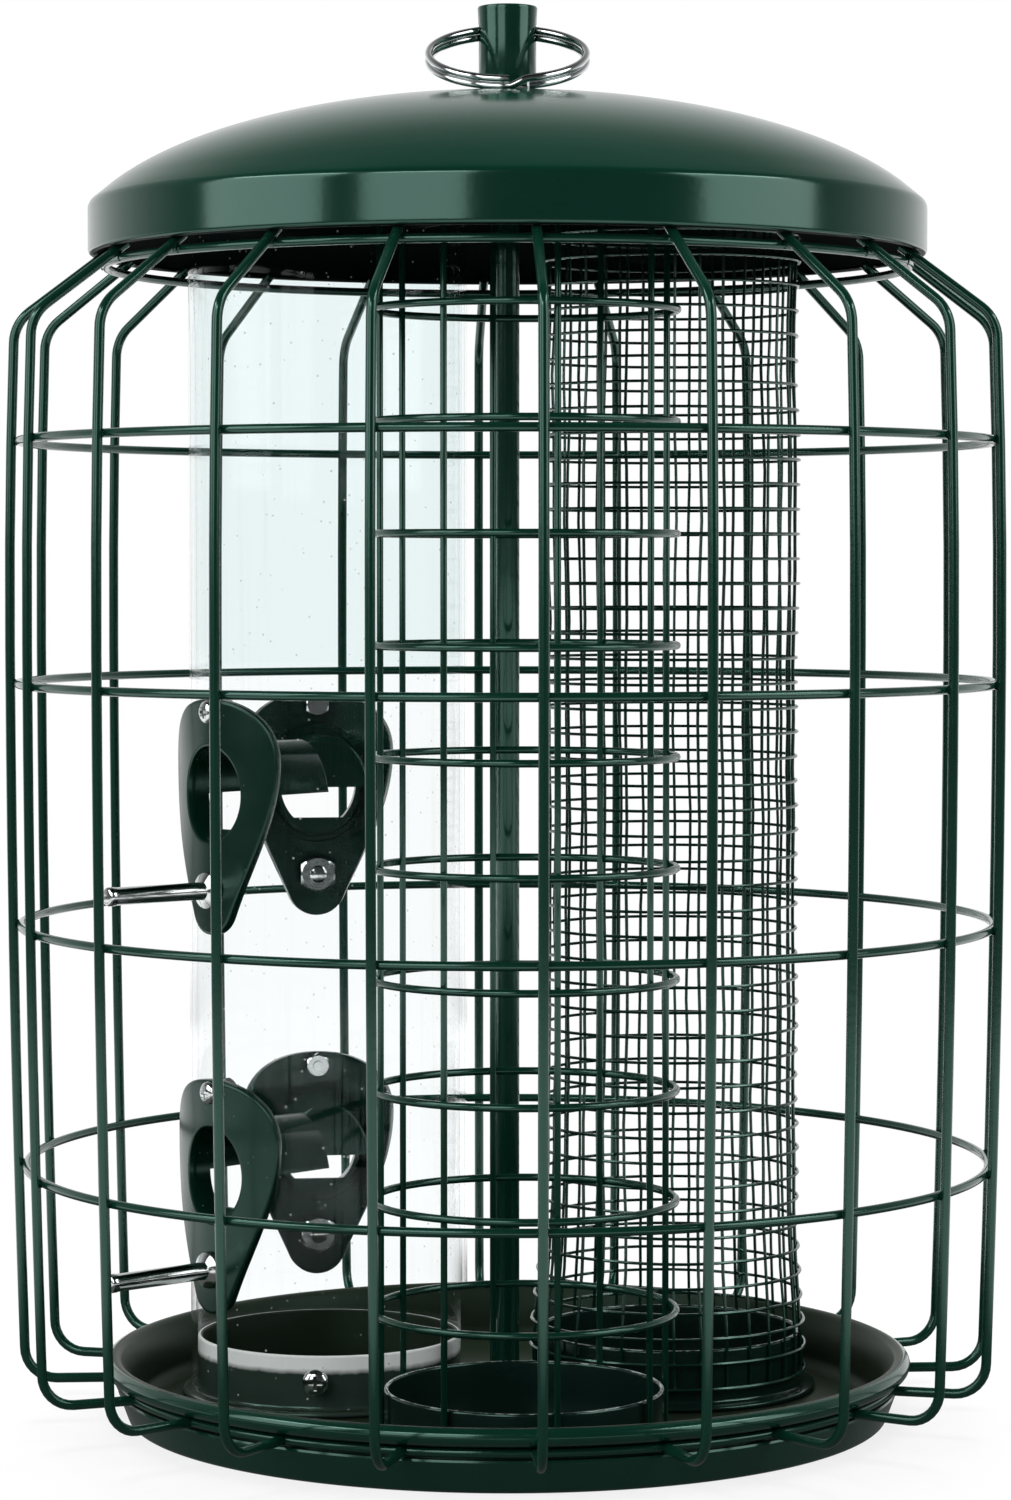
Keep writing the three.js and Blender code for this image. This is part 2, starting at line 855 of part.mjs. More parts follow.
// The shield's outline is a leaf: a broad round top that narrows to a round tip.
function shieldShape() {
  const bottom = -port.holeAboveTip;
  const top = bottom + port.shieldHeight;
  const tipCentre = bottom + port.tipRadius;
  const heightAt = (share) => bottom + port.shieldHeight * share;
  const halfWidth = port.shieldHalfWidth;
  const flankWidth = halfWidth * port.flankWidthShare;
  const crownWidth = halfWidth * port.crownWidthShare;
  const crownSide = heightAt(1 - port.crownDropShare);
  const widest = heightAt(port.widestShare);
  const [lowFlank, highFlank] = port.flankShares.map(heightAt);
  const lean = port.tipLean * degree;
  const shape = new THREE.Shape();
  shape.absarc(0, tipCentre, port.tipRadius, Math.PI + lean, -lean, false);
  shape.bezierCurveTo(flankWidth, lowFlank, halfWidth, highFlank, halfWidth, widest);
  shape.bezierCurveTo(halfWidth, crownSide, crownWidth, top, 0, top);
  shape.bezierCurveTo(-crownWidth, top, -halfWidth, crownSide, -halfWidth, widest);
  shape.bezierCurveTo(
    -halfWidth,
    highFlank,
    -flankWidth,
    lowFlank,
    -port.tipRadius * Math.cos(lean),
    tipCentre - port.tipRadius * Math.sin(lean),
  );
  return shape;
}

// Side outline of the hood in X and Z: level on top, rounded down to a nose at its inner end.
function hoodSide(nose, outer, halfHeight) {
  const bendEnd = nose + port.noseLength;
  const bottom = -halfHeight - cutOverrun;
  const shape = new THREE.Shape();
  shape.absellipse(bendEnd, 0, port.noseLength, halfHeight, Math.PI, Math.PI / 2, true);
  shape.lineTo(outer, halfHeight);
  shape.lineTo(outer, bottom);
  shape.lineTo(nose, bottom);
  shape.closePath();
  return shape;
}

// Shield curved to the tube, with a spigot through its wall whose upper half runs on as a hood.
function portGeometry() {
  const shell = washerAlongZ(
    shieldInner,
    shieldOuter,
    -port.holeAboveTip - cutOverrun,
    port.holeBelowCrown + cutOverrun,
    port.shieldFacets,
  );
  const leaf = slabAlongX(shieldShape(), shieldInner / 2, shieldOuter + cutOverrun);
  const hoodInner = shieldInner - hoodReach;
  const spigotInner = shieldInner - port.spigotInnerReach;
  const throatOuter = shieldOuter + cutOverrun;
  const throat = ovalShape(port.holeHalfWidth, port.holeHalfHeight);
  const pipeOuter = shieldInner + port.shieldThickness / 2;
  const pipe = commonOf(
    slabAlongX(ovalShape(spigotHalfWidth, spigotHalfHeight), hoodInner - cutOverrun, pipeOuter),
    slabAcrossY(
      hoodSide(hoodInner, pipeOuter + cutOverrun, spigotHalfHeight),
      spigotHalfWidth + cutOverrun,
    ),
  );
  const reachBelow = spigotHalfHeight + cutOverrun;
  const belowHood = new THREE.BoxGeometry(
    spigotInner - hoodInner + cutOverrun,
    2 * (spigotHalfWidth + cutOverrun),
    reachBelow,
  ).translate((spigotInner + hoodInner - cutOverrun) / 2, 0, -reachBelow / 2);
  const dam = commonOf(
    slabAlongX(ovalShape(spigotHalfWidth, spigotHalfHeight), spigotInner, spigotInner + port.spigotWall),
    new THREE.BoxGeometry(hoodReach, 2 * spigotHalfWidth, spigotHalfHeight).translate(
      spigotInner,
      0,
      -port.damBelowCentre - spigotHalfHeight / 2,
    ),
  );
  const throatTool = commonOf(
    slabAlongX(throat, hoodInner, throatOuter),
    slabAcrossY(
      hoodSide(hoodInner + port.spigotWall, throatOuter + cutOverrun, port.holeHalfHeight),
      port.holeHalfWidth + cutOverrun,
    ),
  );
  const open = cutFrom(joined([commonOf(shell, leaf), pipe]), [throatTool, belowHood]);
  const screwTool = rodAlongX(
    portScrew.shankRadius + seatGap,
    shieldInner - cutOverrun,
    throatOuter,
    6,
  ).translate(0, 0, port.screwAboveHole);
  const perchTool = rodAlongX(
    perch.radius + seatGap,
    shieldInner - cutOverrun,
    throatOuter,
    6,
  ).translate(0, 0, -port.perchBelowHole);
  return cutFrom(joined([open, dam]), [screwTool, perchTool]);
}

// Pan head outside the shield, nut inside the tube.
function portScrewGeometry() {
  const headSeat = shieldOuter + seatGap;
  const nutSeat = seedTube.radius - seedTube.wall - seatGap;
  return joined([
    rodAlongX(portScrew.headRadius, headSeat, headSeat + portScrew.headHeight, 8),
    rodAlongX(portScrew.shankRadius, nutSeat - portScrew.nutHeight, headSeat + seatGap, 6),
    rodAlongX(portScrew.nutRadius, nutSeat - portScrew.nutHeight, nutSeat, 6),
  ]);
}

const perchNutSeat = seedTube.radius - seedTube.wall - 2 * seatGap;

function perchGeometry() {
  const collarSeat = shieldOuter + seatGap;
  const innerEnd = perchNutSeat - perchNut.height - perch.shankBehindNut;
  const outerEnd = collarSeat + perch.reach;
  const collarOuter = collarSeat + perch.collarThickness;
  const points = [
    [0, innerEnd],
    [perch.radius, innerEnd],
    [perch.radius, collarSeat],
    [perch.collarRadius, collarSeat],
    [perch.collarRadius, collarOuter],
    [perch.radius, collarOuter],
    [perch.radius, outerEnd - perch.endChamfer],
    [perch.radius - perch.endChamfer, outerEnd],
    [0, outerEnd],
  ].map(([radius, along]) => new THREE.Vector2(radius, along));
  return new THREE.LatheGeometry(points, perch.segments).rotateZ(-Math.PI / 2);
}

function perchNutGeometry() {
  return slabAlongX(
    hexShape(perchNut.acrossFlats, perch.radius + seatGap / 2),
    perchNutSeat - perchNut.height,
    perchNutSeat,
  );
}

const portSolid = portGeometry();
const screwSolid = portScrewGeometry();
let portNumber = 0;
portHeights.forEach((height) => {
  portTurns.forEach((turn) => {
    portNumber += 1;
    const group = new THREE.Group();
    group.position.z = height;
    group.rotation.z = turn * degree;
    seedGroup.add(group);
    addPiece("seed_port_" + portNumber, portSolid, "greenPlastic", group);
    addPiece("port_screw_" + portNumber, screwSolid, "brightSteel", group).position.z =
      port.screwAboveHole;
    addPiece("perch_" + portNumber, perchGeometry(), "brightSteel", group).position.z =
      -port.perchBelowHole;
    addPiece("perch_nut_" + portNumber, perchNutGeometry(), "zincSteel", group).position.z =
      -port.perchBelowHole;
  });
});

// Fat-ball basket

function basketGeometry() {
  // Each upright crosses the rings at the middle of a facet.
  const halfFacet = 180 / basket.ringSegments;
  const uprightCircle = collar.radius + basket.uprightClearance + basket.uprightWireRadius;
  const weldCircle =
    uprightCircle + basket.uprightWireRadius + basket.ringWireRadius - basket.weldDepth;
  const topRing = feedersTop - basket.topRingDrop;
  const ringPitch = (topRing - basket.bottomRingHeight) / (basket.rings - 1);
  const wires = [];
  for (let i = 0; i < basket.uprights; i += 1) {
    const bearing = basket.firstUprightBearing + (i * 360) / basket.uprights;
    const foot = atBearing(uprightCircle, bearing, 0);
    wires.push(
      rodAlongZ(
        basket.uprightWireRadius,
        flangeTop + seatGap,
        topRing + basket.ringWireRadius / 2,
        basket.uprightSides,
      ).translate(foot.x, foot.y, 0),
    );
  }
  for (let i = 0; i < basket.rings; i += 1) {
    wires.push(
      new THREE.TorusGeometry(
        weldCircle / Math.cos(halfFacet * degree),
        basket.ringWireRadius,
        basket.ringSides,
        basket.ringSegments,
      )
        .rotateZ(bearingTurn(basket.firstUprightBearing + halfFacet))
        .translate(0, 0, basket.bottomRingHeight + i * ringPitch),
    );
  }
  return joined(wires);
}

addPiece("fat_ball_basket", basketGeometry(), "greenPaint", fatBallGroup);

// Peanut mesh

const strandTurn = net.strand / net.radius;

function netRadiusAt(height) {
  const facet = Math.cos((fullTurn / net.columns - strandTurn) / 2);
  const footRadius = (collar.radius + net.footClearance) / facet + net.strand / 2;
  const rise = Math.max(net.flareTop - height, 0) / (net.flareTop - collar.rimHeight);
  return net.radius + (footRadius - net.radius) * Math.min(rise, 1) ** 2;
}

// A grid of strands round a tube: each cell of the grid is either a strand or a square hole.
function netGeometry() {
  const angles = [];
  for (let i = 0; i < net.columns; i += 1) {
    const middle = (i / net.columns) * fullTurn;
    angles.push(middle - strandTurn / 2, middle + strandTurn / 2);
  }
  const heights = [];
  const rowPitch = (feedersTop - net.footHeight - net.strand) / (net.rows - 1);
  for (let i = 0; i < net.rows; i += 1) {
    const bottom = net.footHeight + i * rowPitch;
    heights.push(bottom, bottom + net.strand);
  }
  const across = angles.length;
  const layer = across * heights.length;
  const positions = [];
  [-1, 1].forEach((side) => {
    heights.forEach((height) => {
      const radius = netRadiusAt(height) + (side * net.strand) / 2;
      angles.forEach((angle) => {
        positions.push(radius * Math.cos(angle), radius * Math.sin(angle), height);
      });
    });
  });
  const index = [];
  const quad = (a, b, c, d) => index.push(a, b, c, a, c, d);
  for (let v = 0; v < heights.length - 1; v += 1) {
    for (let u = 0; u < across; u += 1) {
      const next = (u + 1) % across;
      const a = v * across + u;
      const b = v * across + next;
      const c = b + across;
      const d = a + across;
      if (v % 2 === 1 && u % 2 === 1) {
        quad(a, a + layer, b + layer, b);
        quad(b, b + layer, c + layer, c);
        quad(c, c + layer, d + layer, d);
        quad(d, d + layer, a + layer, a);
      } else {
        quad(a + layer, b + layer, c + layer, d + layer);
        quad(b, a, d, c);
      }
    }
  }
  const lastRow = (heights.length - 1) * across;
  for (let u = 0; u < across; u += 1) {
    const next = (u + 1) % across;
    quad(u, next, next + layer, u + layer);
    quad(lastRow + next, lastRow + u, lastRow + u + layer, lastRow + next + layer);
  }
  const geometry = new THREE.BufferGeometry();
  geometry.setAttribute("position", new THREE.Float32BufferAttribute(positions, 3));
  geometry.setIndex(index);
  return geometry;
}

addPiece("peanut_mesh", netGeometry(), "greenPaint", peanutGroup);

export default feeder;
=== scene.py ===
"""Caged bird feeder, dressed for rendering.

A round wire guard cage with a domed roof and a dish tray holds three feeders round a post: a clear seed
tube with four ports, a peanut mesh and a fat-ball basket. Metres, +Z up, the front of the feeder is -Y.
"""

import functools
import json
from math import asin, atan2, cos, pi, radians, sin, sqrt, tau

import bmesh
import bpy
from mathutils import Matrix, Vector


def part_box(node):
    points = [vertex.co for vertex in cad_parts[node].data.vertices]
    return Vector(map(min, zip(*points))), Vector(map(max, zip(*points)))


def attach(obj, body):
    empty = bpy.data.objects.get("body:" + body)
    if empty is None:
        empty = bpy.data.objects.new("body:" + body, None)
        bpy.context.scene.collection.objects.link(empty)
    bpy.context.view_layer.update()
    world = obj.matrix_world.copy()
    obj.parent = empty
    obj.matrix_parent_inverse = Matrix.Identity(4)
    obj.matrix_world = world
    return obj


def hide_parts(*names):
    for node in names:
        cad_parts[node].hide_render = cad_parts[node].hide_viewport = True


bl_info = {
    "name": "Caged Bird Feeder",
    "version": (1, 0, 0),
    "blender": (4, 5, 0),
    "location": "3D View > Sidebar > Feeder",
    "description": "Models the finished pieces of a caged bird feeder round its packed frame",
    "category": "Object",
}

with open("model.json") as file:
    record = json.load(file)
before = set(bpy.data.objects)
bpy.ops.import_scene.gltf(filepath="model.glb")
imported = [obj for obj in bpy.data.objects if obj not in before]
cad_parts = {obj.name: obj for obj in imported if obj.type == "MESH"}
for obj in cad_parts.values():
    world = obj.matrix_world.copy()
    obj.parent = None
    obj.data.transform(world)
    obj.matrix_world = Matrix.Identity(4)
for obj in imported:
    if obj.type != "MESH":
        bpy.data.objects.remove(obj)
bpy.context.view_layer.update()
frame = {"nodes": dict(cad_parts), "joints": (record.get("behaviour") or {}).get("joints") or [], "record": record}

MM = 0.001
MERGE_DISTANCE = 0.001 * MM
SMOOTH_ANGLE = radians(38)

RECORD = frame["record"]
BODY_OF = {node: body for body, nodes in RECORD["behaviour"]["bodies"].items() for node in nodes}
BARS = [node for node in frame["nodes"] if node.startswith("cage_bar_")]


def middle(node):
    """The centre of a node's box."""
    low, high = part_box(node)
    return (low + high) / 2


def half_width(node):
    low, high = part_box(node)
    return (high.x - low.x) / 2


def bearing(offset):
    """The angle about Z of a direction, from +X towards +Y."""
    return atan2(offset.y, offset.x)


FAT_BALL_CENTRE = middle("fat_ball_collar")
PEANUT_CENTRE = middle("peanut_collar")
SEED_CENTRE = middle("seed_tube")
TUBE_RADIUS = half_width("seed_tube")
CROSS_HOLE = Vector(next(j for j in frame["joints"] if j["name"] == "ring_swing")["pos_m"])


# Sizes and colours that a user would change


def linear(hex_colour):
    """An sRGB hex colour as linear red, green, blue and alpha."""
    shares = [int(hex_colour[i : i + 2], 16) / 255 for i in (1, 3, 5)]
    return [s / 12.92 if s <= 0.04045 else ((s + 0.055) / 1.055) ** 2.4 for s in shares] + [1.0]


def labelled(kind, table, **settings):
    """Properties from a table of (default, description), each labelled with the words of its key."""
    properties = {}
    for key, (default, description) in table.items():
        label = key.replace("_", " ").capitalize()
        properties[key] = kind(name=label, description=description, default=default, **settings)
    return properties


def lengths(**table):
    """Length properties from a table of (millimetres, description)."""
    table = {key: (millimetres * MM, text) for key, (millimetres, text) in table.items()}
    return labelled(bpy.props.FloatProperty, table, unit="LENGTH", precision=5)


def colours(**table):
    """Colour properties from a table of (hex colour, description)."""
    table = {key: (linear(hex_colour), text) for key, (hex_colour, text) in table.items()}
    return labelled(bpy.props.FloatVectorProperty, table, subtype="COLOR", size=4)


class FinishColours(bpy.types.PropertyGroup):
    __annotations__ = colours(
        green=("#0B3629", "Powder coat on the cage, roof and tray"),
        deep_green=("#082B20", "The darker clouds in the green coat"),
        collar_green=("#06201B", "Powder coat on the collars"),
        collar_brown=("#121A17", "The browner clouds in the collars' coat"),
        # Painted light: lighter and greyer than the other collars' coat, for the light on the seed collar and the
        # tube's reflected haze over it.
        hazy_green=("#43534C", "The seed collar's coat, greyed by the tube over it"),
        # Painted shade: a dark, dull skin on the faces inside the tray and the seed collar.
        dish_lining=("#20291E", "The thin coat inside the tray and the seed collar"),
        roof_lining=("#0B0E0E", "The thin coat inside the roof"),
        moulded_green=("#06241B", "Plastic of the seed ports"),
        seed_dust=("#9DB0A6", "Specks of dust on the seed ports"),
        # Painted shade: a near-black, dull skin on the roof's underside.
        worn_rim=("#A9B5AF", "Bare steel where a rim's coat has worn"),
        # Painted highlight: a near-white band on the outside of the seed collar under its rim.
        bare_band=("#F4F6F4", "The primed band under the seed collar's rim"),
        chrome=("#D6DADA", "Perches, screws and the hanging ring"),
        zinc=("#C2C8C8", "Nuts and washers"),
        tube=("#FEFFFF", "The cast of the seed tube's plastic"),
        upper_tube=("#FAFDFD", "The cast of the tube's upper half"),
        rubber=("#141817", "The washer under the hanger"),
        floor=("#FFFFFF", "The studio floor and backdrop"),
    )


class CageSizes(bpy.types.PropertyGroup):
    __annotations__ = lengths(
        bar_radius=(1.25, "Half the thickness of a cage bar"),
        hoop_radius=(1.1, "Half the thickness of a hoop's wire"),
        foot_bend=(8, "Radius of the bend at a bar's foot"),
        shoulder_bend=(10, "Radius of the bend at a bar's shoulder"),
        foot_draw_in=(2.8, "How far the bars lean in at the foot"),
        shoulder_draw_in=(1.3, "How far the bars lean in at the shoulder"),
        belly_height=(200, "Height of the widest part of the cage"),
        shoulder_height=(269.5, "Where the bars start to bend under the roof"),
        slope_length=(25, "Straight length of a bar under the roof"),
        weld_size=(0.75, "Half the width of the weld where wires cross"),
    )


class RoofSizes(bpy.types.PropertyGroup):
    __annotations__ = lengths(
        skirt=(11.2, "Height of the straight skirt"),
        hem=(1.2, "Radius of the rolled hem at the skirt's lower edge"),
        sheet=(1.2, "Thickness of the steel"),
        shoulder=(3, "Radius between skirt and dome"),
        dome_radius=(110, "Half width of the ellipse that the dome follows"),
        dome_height=(41, "Height of the ellipse that the dome follows"),
        bore=(3.4, "Radius of the hole for the post"),
    )


class TraySizes(bpy.types.PropertyGroup):
    __annotations__ = lengths(
        base_radius=(96, "Radius of the flat underside"),
        band_radius=(98.6, "Radius of the band under the groove"),
        band_height=(8.3, "Height of the band's upper edge"),
        groove_radius=(96.6, "Radius of the groove that holds the base hoop"),
        bead_radius=(2.25, "Radius of the rolled lip"),
        sheet=(1.2, "Thickness of the steel"),
        wall_radius=(95.2, "Inside radius of the dish"),
        floor_corner=(4, "Radius between floor and wall"),
        boss_radius=(8, "Radius of the raised boss for the post"),
        boss_height=(7.4, "Height of the raised boss"),
        boss_draft=(2, "How far the boss widens at its foot"),
    )


class FeederSizes(bpy.types.PropertyGroup):
    __annotations__ = lengths(
        collar_wall=(1.2, "Thickness of a collar"),
        tube_wall=(1.3, "Thickness of the seed tube"),
        net_pitch=(6.35, "Spacing of the peanut mesh's wires"),
        net_wire=(0.42, "Half the thickness of the mesh's wire"),
        net_radius=(32.4, "Radius of the mesh above its flare"),
        net_flare_height=(70, "Where the mesh starts to widen"),
        basket_ring_wire=(0.95, "Half the thickness of the basket's rings"),
        basket_upright_wire=(0.8, "Half the thickness of the basket's uprights"),
        ring_pitch=(26.7, "Spacing of the basket's rings"),
    )


class PortSizes(bpy.types.PropertyGroup):
    __annotations__ = lengths(
        shield_height=(59.5, "Height of a port's leaf-shaped shield"),
        shield_half_width=(20, "Half width of the shield"),
        tip_radius=(7.5, "Radius of the shield's lower tip"),
        hole_above_tip=(35.5, "From the shield's tip to the hole's centre"),
        hole_half_width=(10, "Half width of the feed hole"),
        hole_half_height=(12, "Half height of the feed hole"),
        spigot_wall=(1.1, "Wall of the spigot and hood"),
        spigot_reach=(5, "How far the lower half runs into the tube"),
        hood_reach=(27, "How far the hood runs into the tube"),
        hood_nose=(0.8, "Length over which the hood rounds down to its inner end"),
        dam_depth=(8.8, "From the hole's centre down to the dam"),
        edge_round=(0.6, "Rounding of the shield's edges"),
        rim_round=(0.6, "Rounding of the feed hole's rim"),
        perch_radius=(2.25, "Half the thickness of a perch"),
        perch_reach=(31.8, "How far a perch stands out of its shield"),
        perch_collar=(4.7, "Radius of the collar that seats a perch"),
        perch_nut=(9, "Width across the flats of a perch's nut"),
    )


# Materials

# The green coats give reflections that look straight back at the eye a green gleam.
COAT_GLEAM = (0.58, 1.0, 0.86, 1.0)


def add_node(tree, kind, inputs, **settings):
    """Adds a node, sets its properties, and fills or links its inputs.

    A node that is given as an input's value is linked by its first output in use.
    """
    node = tree.nodes.new("ShaderNode" + kind)
    for key, value in settings.items():
        setattr(node, key, value)
    for key, value in inputs.items():
        if isinstance(value, bpy.types.Node):
            value = next(output for output in value.outputs if output.enabled)
        if isinstance(value, bpy.types.NodeSocket):
            tree.links.new(value, node.inputs[key])
        else:
            node.inputs[key].default_value = value
    return node


# Each finish is a function that adds its nodes and gives its shader: add adds a node, and place holds
# the object's own coordinates.


def outward(add, place, centre):
    """1 on faces that look away from a point, 0 on those that look towards it."""
    offset = add("VectorMath", {0: place, 1: centre}, operation="SUBTRACT")
    normal = place.node.outputs["Normal"]
    along = add("VectorMath", {0: normal, 1: offset}, operation="DOT_PRODUCT")
    return add("Math", {0: along, 1: 0.0}, operation="GREATER_THAN")


def glossy_skin(add, colour, roughness, ior, bump):
    inputs = {"Base Color": colour, "Roughness": roughness, "IOR": ior}
    return add("BsdfPrincipled", {**inputs, "Specular Tint": COAT_GLEAM, "Normal": bump})


def powder_coat(
    add, place, light, deep, low_roughness, high_roughness, peel_height, shaded_inside=None, worn=None
):
    """Polyester powder coat baked on steel: a glossy skin with orange peel that breaks up reflections.

    shaded_inside is (centre, colour, ior): faces that look towards the centre get a dark, dull skin of painted
    shade.
    worn is (height, fade, colour, centre): above that height, over the length of fade, the coat gives way to that
    colour;
    with a centre, only on faces that look away from it. It paints worn bare steel on the collars' rims and a
    painted highlight on the seed collar's band.
    """
    cloud_spacing = 45 * MM
    peel_spacing = 1.6 * MM
    nib_spacing = 7 * MM
    cloud = add("TexNoise", {"Vector": place, "Scale": 1 / cloud_spacing, "Detail": 3.0})
    tint = add("Mix", {0: cloud, 6: deep, 7: light}, data_type="RGBA")
    gloss = add("MapRange", {"Value": cloud, "To Min": low_roughness, "To Max": high_roughness})
    peel = add("TexNoise", {"Vector": place, "Scale": 1 / peel_spacing, "Detail": 1.0})
    nib = add("TexVoronoi", {"Vector": place, "Scale": 1 / nib_spacing})
    nib_height = add("MapRange", {"Value": nib, "From Max": 0.06, "To Min": 0.8, "To Max": 0.0})
    height = add("Math", {0: peel, 1: nib_height}, operation="ADD")
    bump = add("Bump", {"Height": height, "Strength": 0.5, "Distance": peel_height})
    coat = glossy_skin(add, tint, gloss, 1.65, bump)
    if shaded_inside is not None:
        # Painted shade: faces that look towards the centre get a dark, dull skin with little gleam.
        centre, inside, ior = shaded_inside
        thin = glossy_skin(add, inside, 0.4, ior, bump)
        coat = add("MixShader", {0: outward(add, place, centre), 1: thin, 2: coat})
    if worn is None:
        return coat
    # Above the height the coat gives way to a plain colour: bare steel where the collars' rims are worn, and a
    # painted highlight on the seed collar's band.
    wear_and_highlight_height, fade, wear_and_highlight_colour, centre = worn
    ragged_spacing = 3 * MM
    ragged_reach = 0.5 * MM
    bare_and_highlight_skin = add("BsdfPrincipled", {"Base Color": wear_and_highlight_colour, "Roughness": 0.35})
    axes = add("SeparateXYZ", {"Vector": place})
    ragged = add("TexNoise", {"Vector": place, "Scale": 1 / ragged_spacing})
    ragged_offset = add("MapRange", {"Value": ragged, "To Min": -ragged_reach, "To Max": ragged_reach})
    level = add("Math", {0: axes.outputs["Z"], 1: ragged_offset}, operation="ADD")
    wear_and_highlight = add("MapRange", {"Value": level, "From Min": wear_and_highlight_height, "From Max": wear_and_highlight_height + fade})
    if centre is not None:
        wear_and_highlight = add("Math", {0: wear_and_highlight, 1: outward(add, place, centre)}, operation="MULTIPLY")
    return add("MixShader", {0: wear_and_highlight, 1: coat, 2: bare_and_highlight_skin})


def moulded_abs(add, place, light, speck_colour):
    """Injection-moulded ABS: a smooth glossy skin with faint flow marks and specks of seed dust."""
    flow_spacing = 9 * MM
    flow_height = 0.1 * MM
    speck_spacing = 3.2 * MM
    flow = add("TexNoise", {"Vector": place, "Scale": 1 / flow_spacing, "Detail": 2.0})
    gloss = add("MapRange", {"Value": flow, "To Min": 0.12, "To Max": 0.3})
    speck = add("TexVoronoi", {"Vector": place, "Scale": 1 / speck_spacing})
    dust = add("MapRange", {"Value": speck, "From Max": 0.07, "To Min": 0.55, "To Max": 0.0})
    tint = add("Mix", {0: dust, 6: light, 7: speck_colour}, data_type="RGBA")
    bump = add("Bump", {"Height": flow, "Strength": 0.3, "Distance": flow_height})
    return glossy_skin(add, tint, gloss, 1.5, bump)


def clear_plastic(add, place, cast, upper_cast, cast_height):
    """Extruded clear PVC: the eye passes straight through the thin wall, which shines at a slant.

    Faint draw lines run down the tube, where the wall is a little duller, and white dust clings to it.
    """
    line_spacing = 2.5 * MM
    line_height = 0.1 * MM
    dust_spacing = 5 * MM
    cast_end = cast_height + 2 * MM
    axes = add("SeparateXYZ", {"Vector": place})
    upper = add("MapRange", {"Value": axes.outputs["Z"], "From Min": cast_height, "From Max": cast_end})
    casts = add("Mix", {0: upper, 6: cast, 7: upper_cast}, data_type="RGBA")
    stretched = add("Mapping", {"Vector": place, "Scale": (1.0, 1.0, 0.02)})
    lines = add("TexNoise", {"Vector": stretched, "Scale": 1 / line_spacing, "Detail": 2.0})
    bump = add("Bump", {"Height": lines, "Strength": 0.1, "Distance": line_height})
    drawn = add(
        "MapRange", {"Value": lines, "From Min": 0.62, "From Max": 0.75, "To Min": 0.0, "To Max": 0.1}
    )
    tint = add("Mix", {0: drawn, 6: casts, 7: (0.75, 0.8, 0.78, 1.0)}, data_type="RGBA")
    through = add("BsdfTransparent", {"Color": tint})
    mirror = add("BsdfGlossy", {"Color": (1.0, 1.0, 1.0, 1.0), "Roughness": 0.03, "Normal": bump})
    slant = add("LayerWeight", {"Blend": 0.5})
    steep = add("Math", {0: slant.outputs["Facing"], 1: 5.0}, operation="POWER")
    shine = add("Math", {0: steep, 1: 0.8, 2: 0.007}, operation="MULTIPLY_ADD")
    wall = add("MixShader", {0: shine, 1: through, 2: mirror})
    specks = add("TexVoronoi", {"Vector": place, "Scale": 1 / dust_spacing})
    dust = add("MapRange", {"Value": specks, "From Max": 0.08, "To Min": 0.8, "To Max": 0.0})
    white = add("BsdfDiffuse", {"Color": (0.9, 0.9, 0.88, 1.0)})
    return add("MixShader", {0: dust, 1: wall, 2: white})


def plated_steel(add, place, base, low_roughness, high_roughness, mottle_spacing):
    """Steel with a bright plating: a mirror under fine polishing marks, or the duller spangle of zinc."""
    mottle_height = 0.1 * MM
    mottle = add("TexNoise", {"Vector": place, "Scale": 1 / mottle_spacing, "Detail": 4.0})
    gloss = add("MapRange", {"Value": mottle, "To Min": low_roughness, "To Max": high_roughness})
    bump = add("Bump", {"Height": mottle, "Strength": 0.3, "Distance": mottle_height})
    inputs = {"Base Color": base, "Metallic": 1.0, "Roughness": gloss, "Normal": bump}
    return add("BsdfPrincipled", inputs)


def moulded_rubber(add, place, base):
    """Black rubber: matte, with a fine grain."""
    grain_spacing = 0.6 * MM
    grain_height = 0.1 * MM
    grain = add("TexNoise", {"Vector": place, "Scale": 1 / grain_spacing})
    bump = add("Bump", {"Height": grain, "Strength": 0.4, "Distance": grain_height})
    inputs = {"Base Color": base, "Roughness": 0.75, "Normal": bump}
    return add("BsdfPrincipled", inputs)


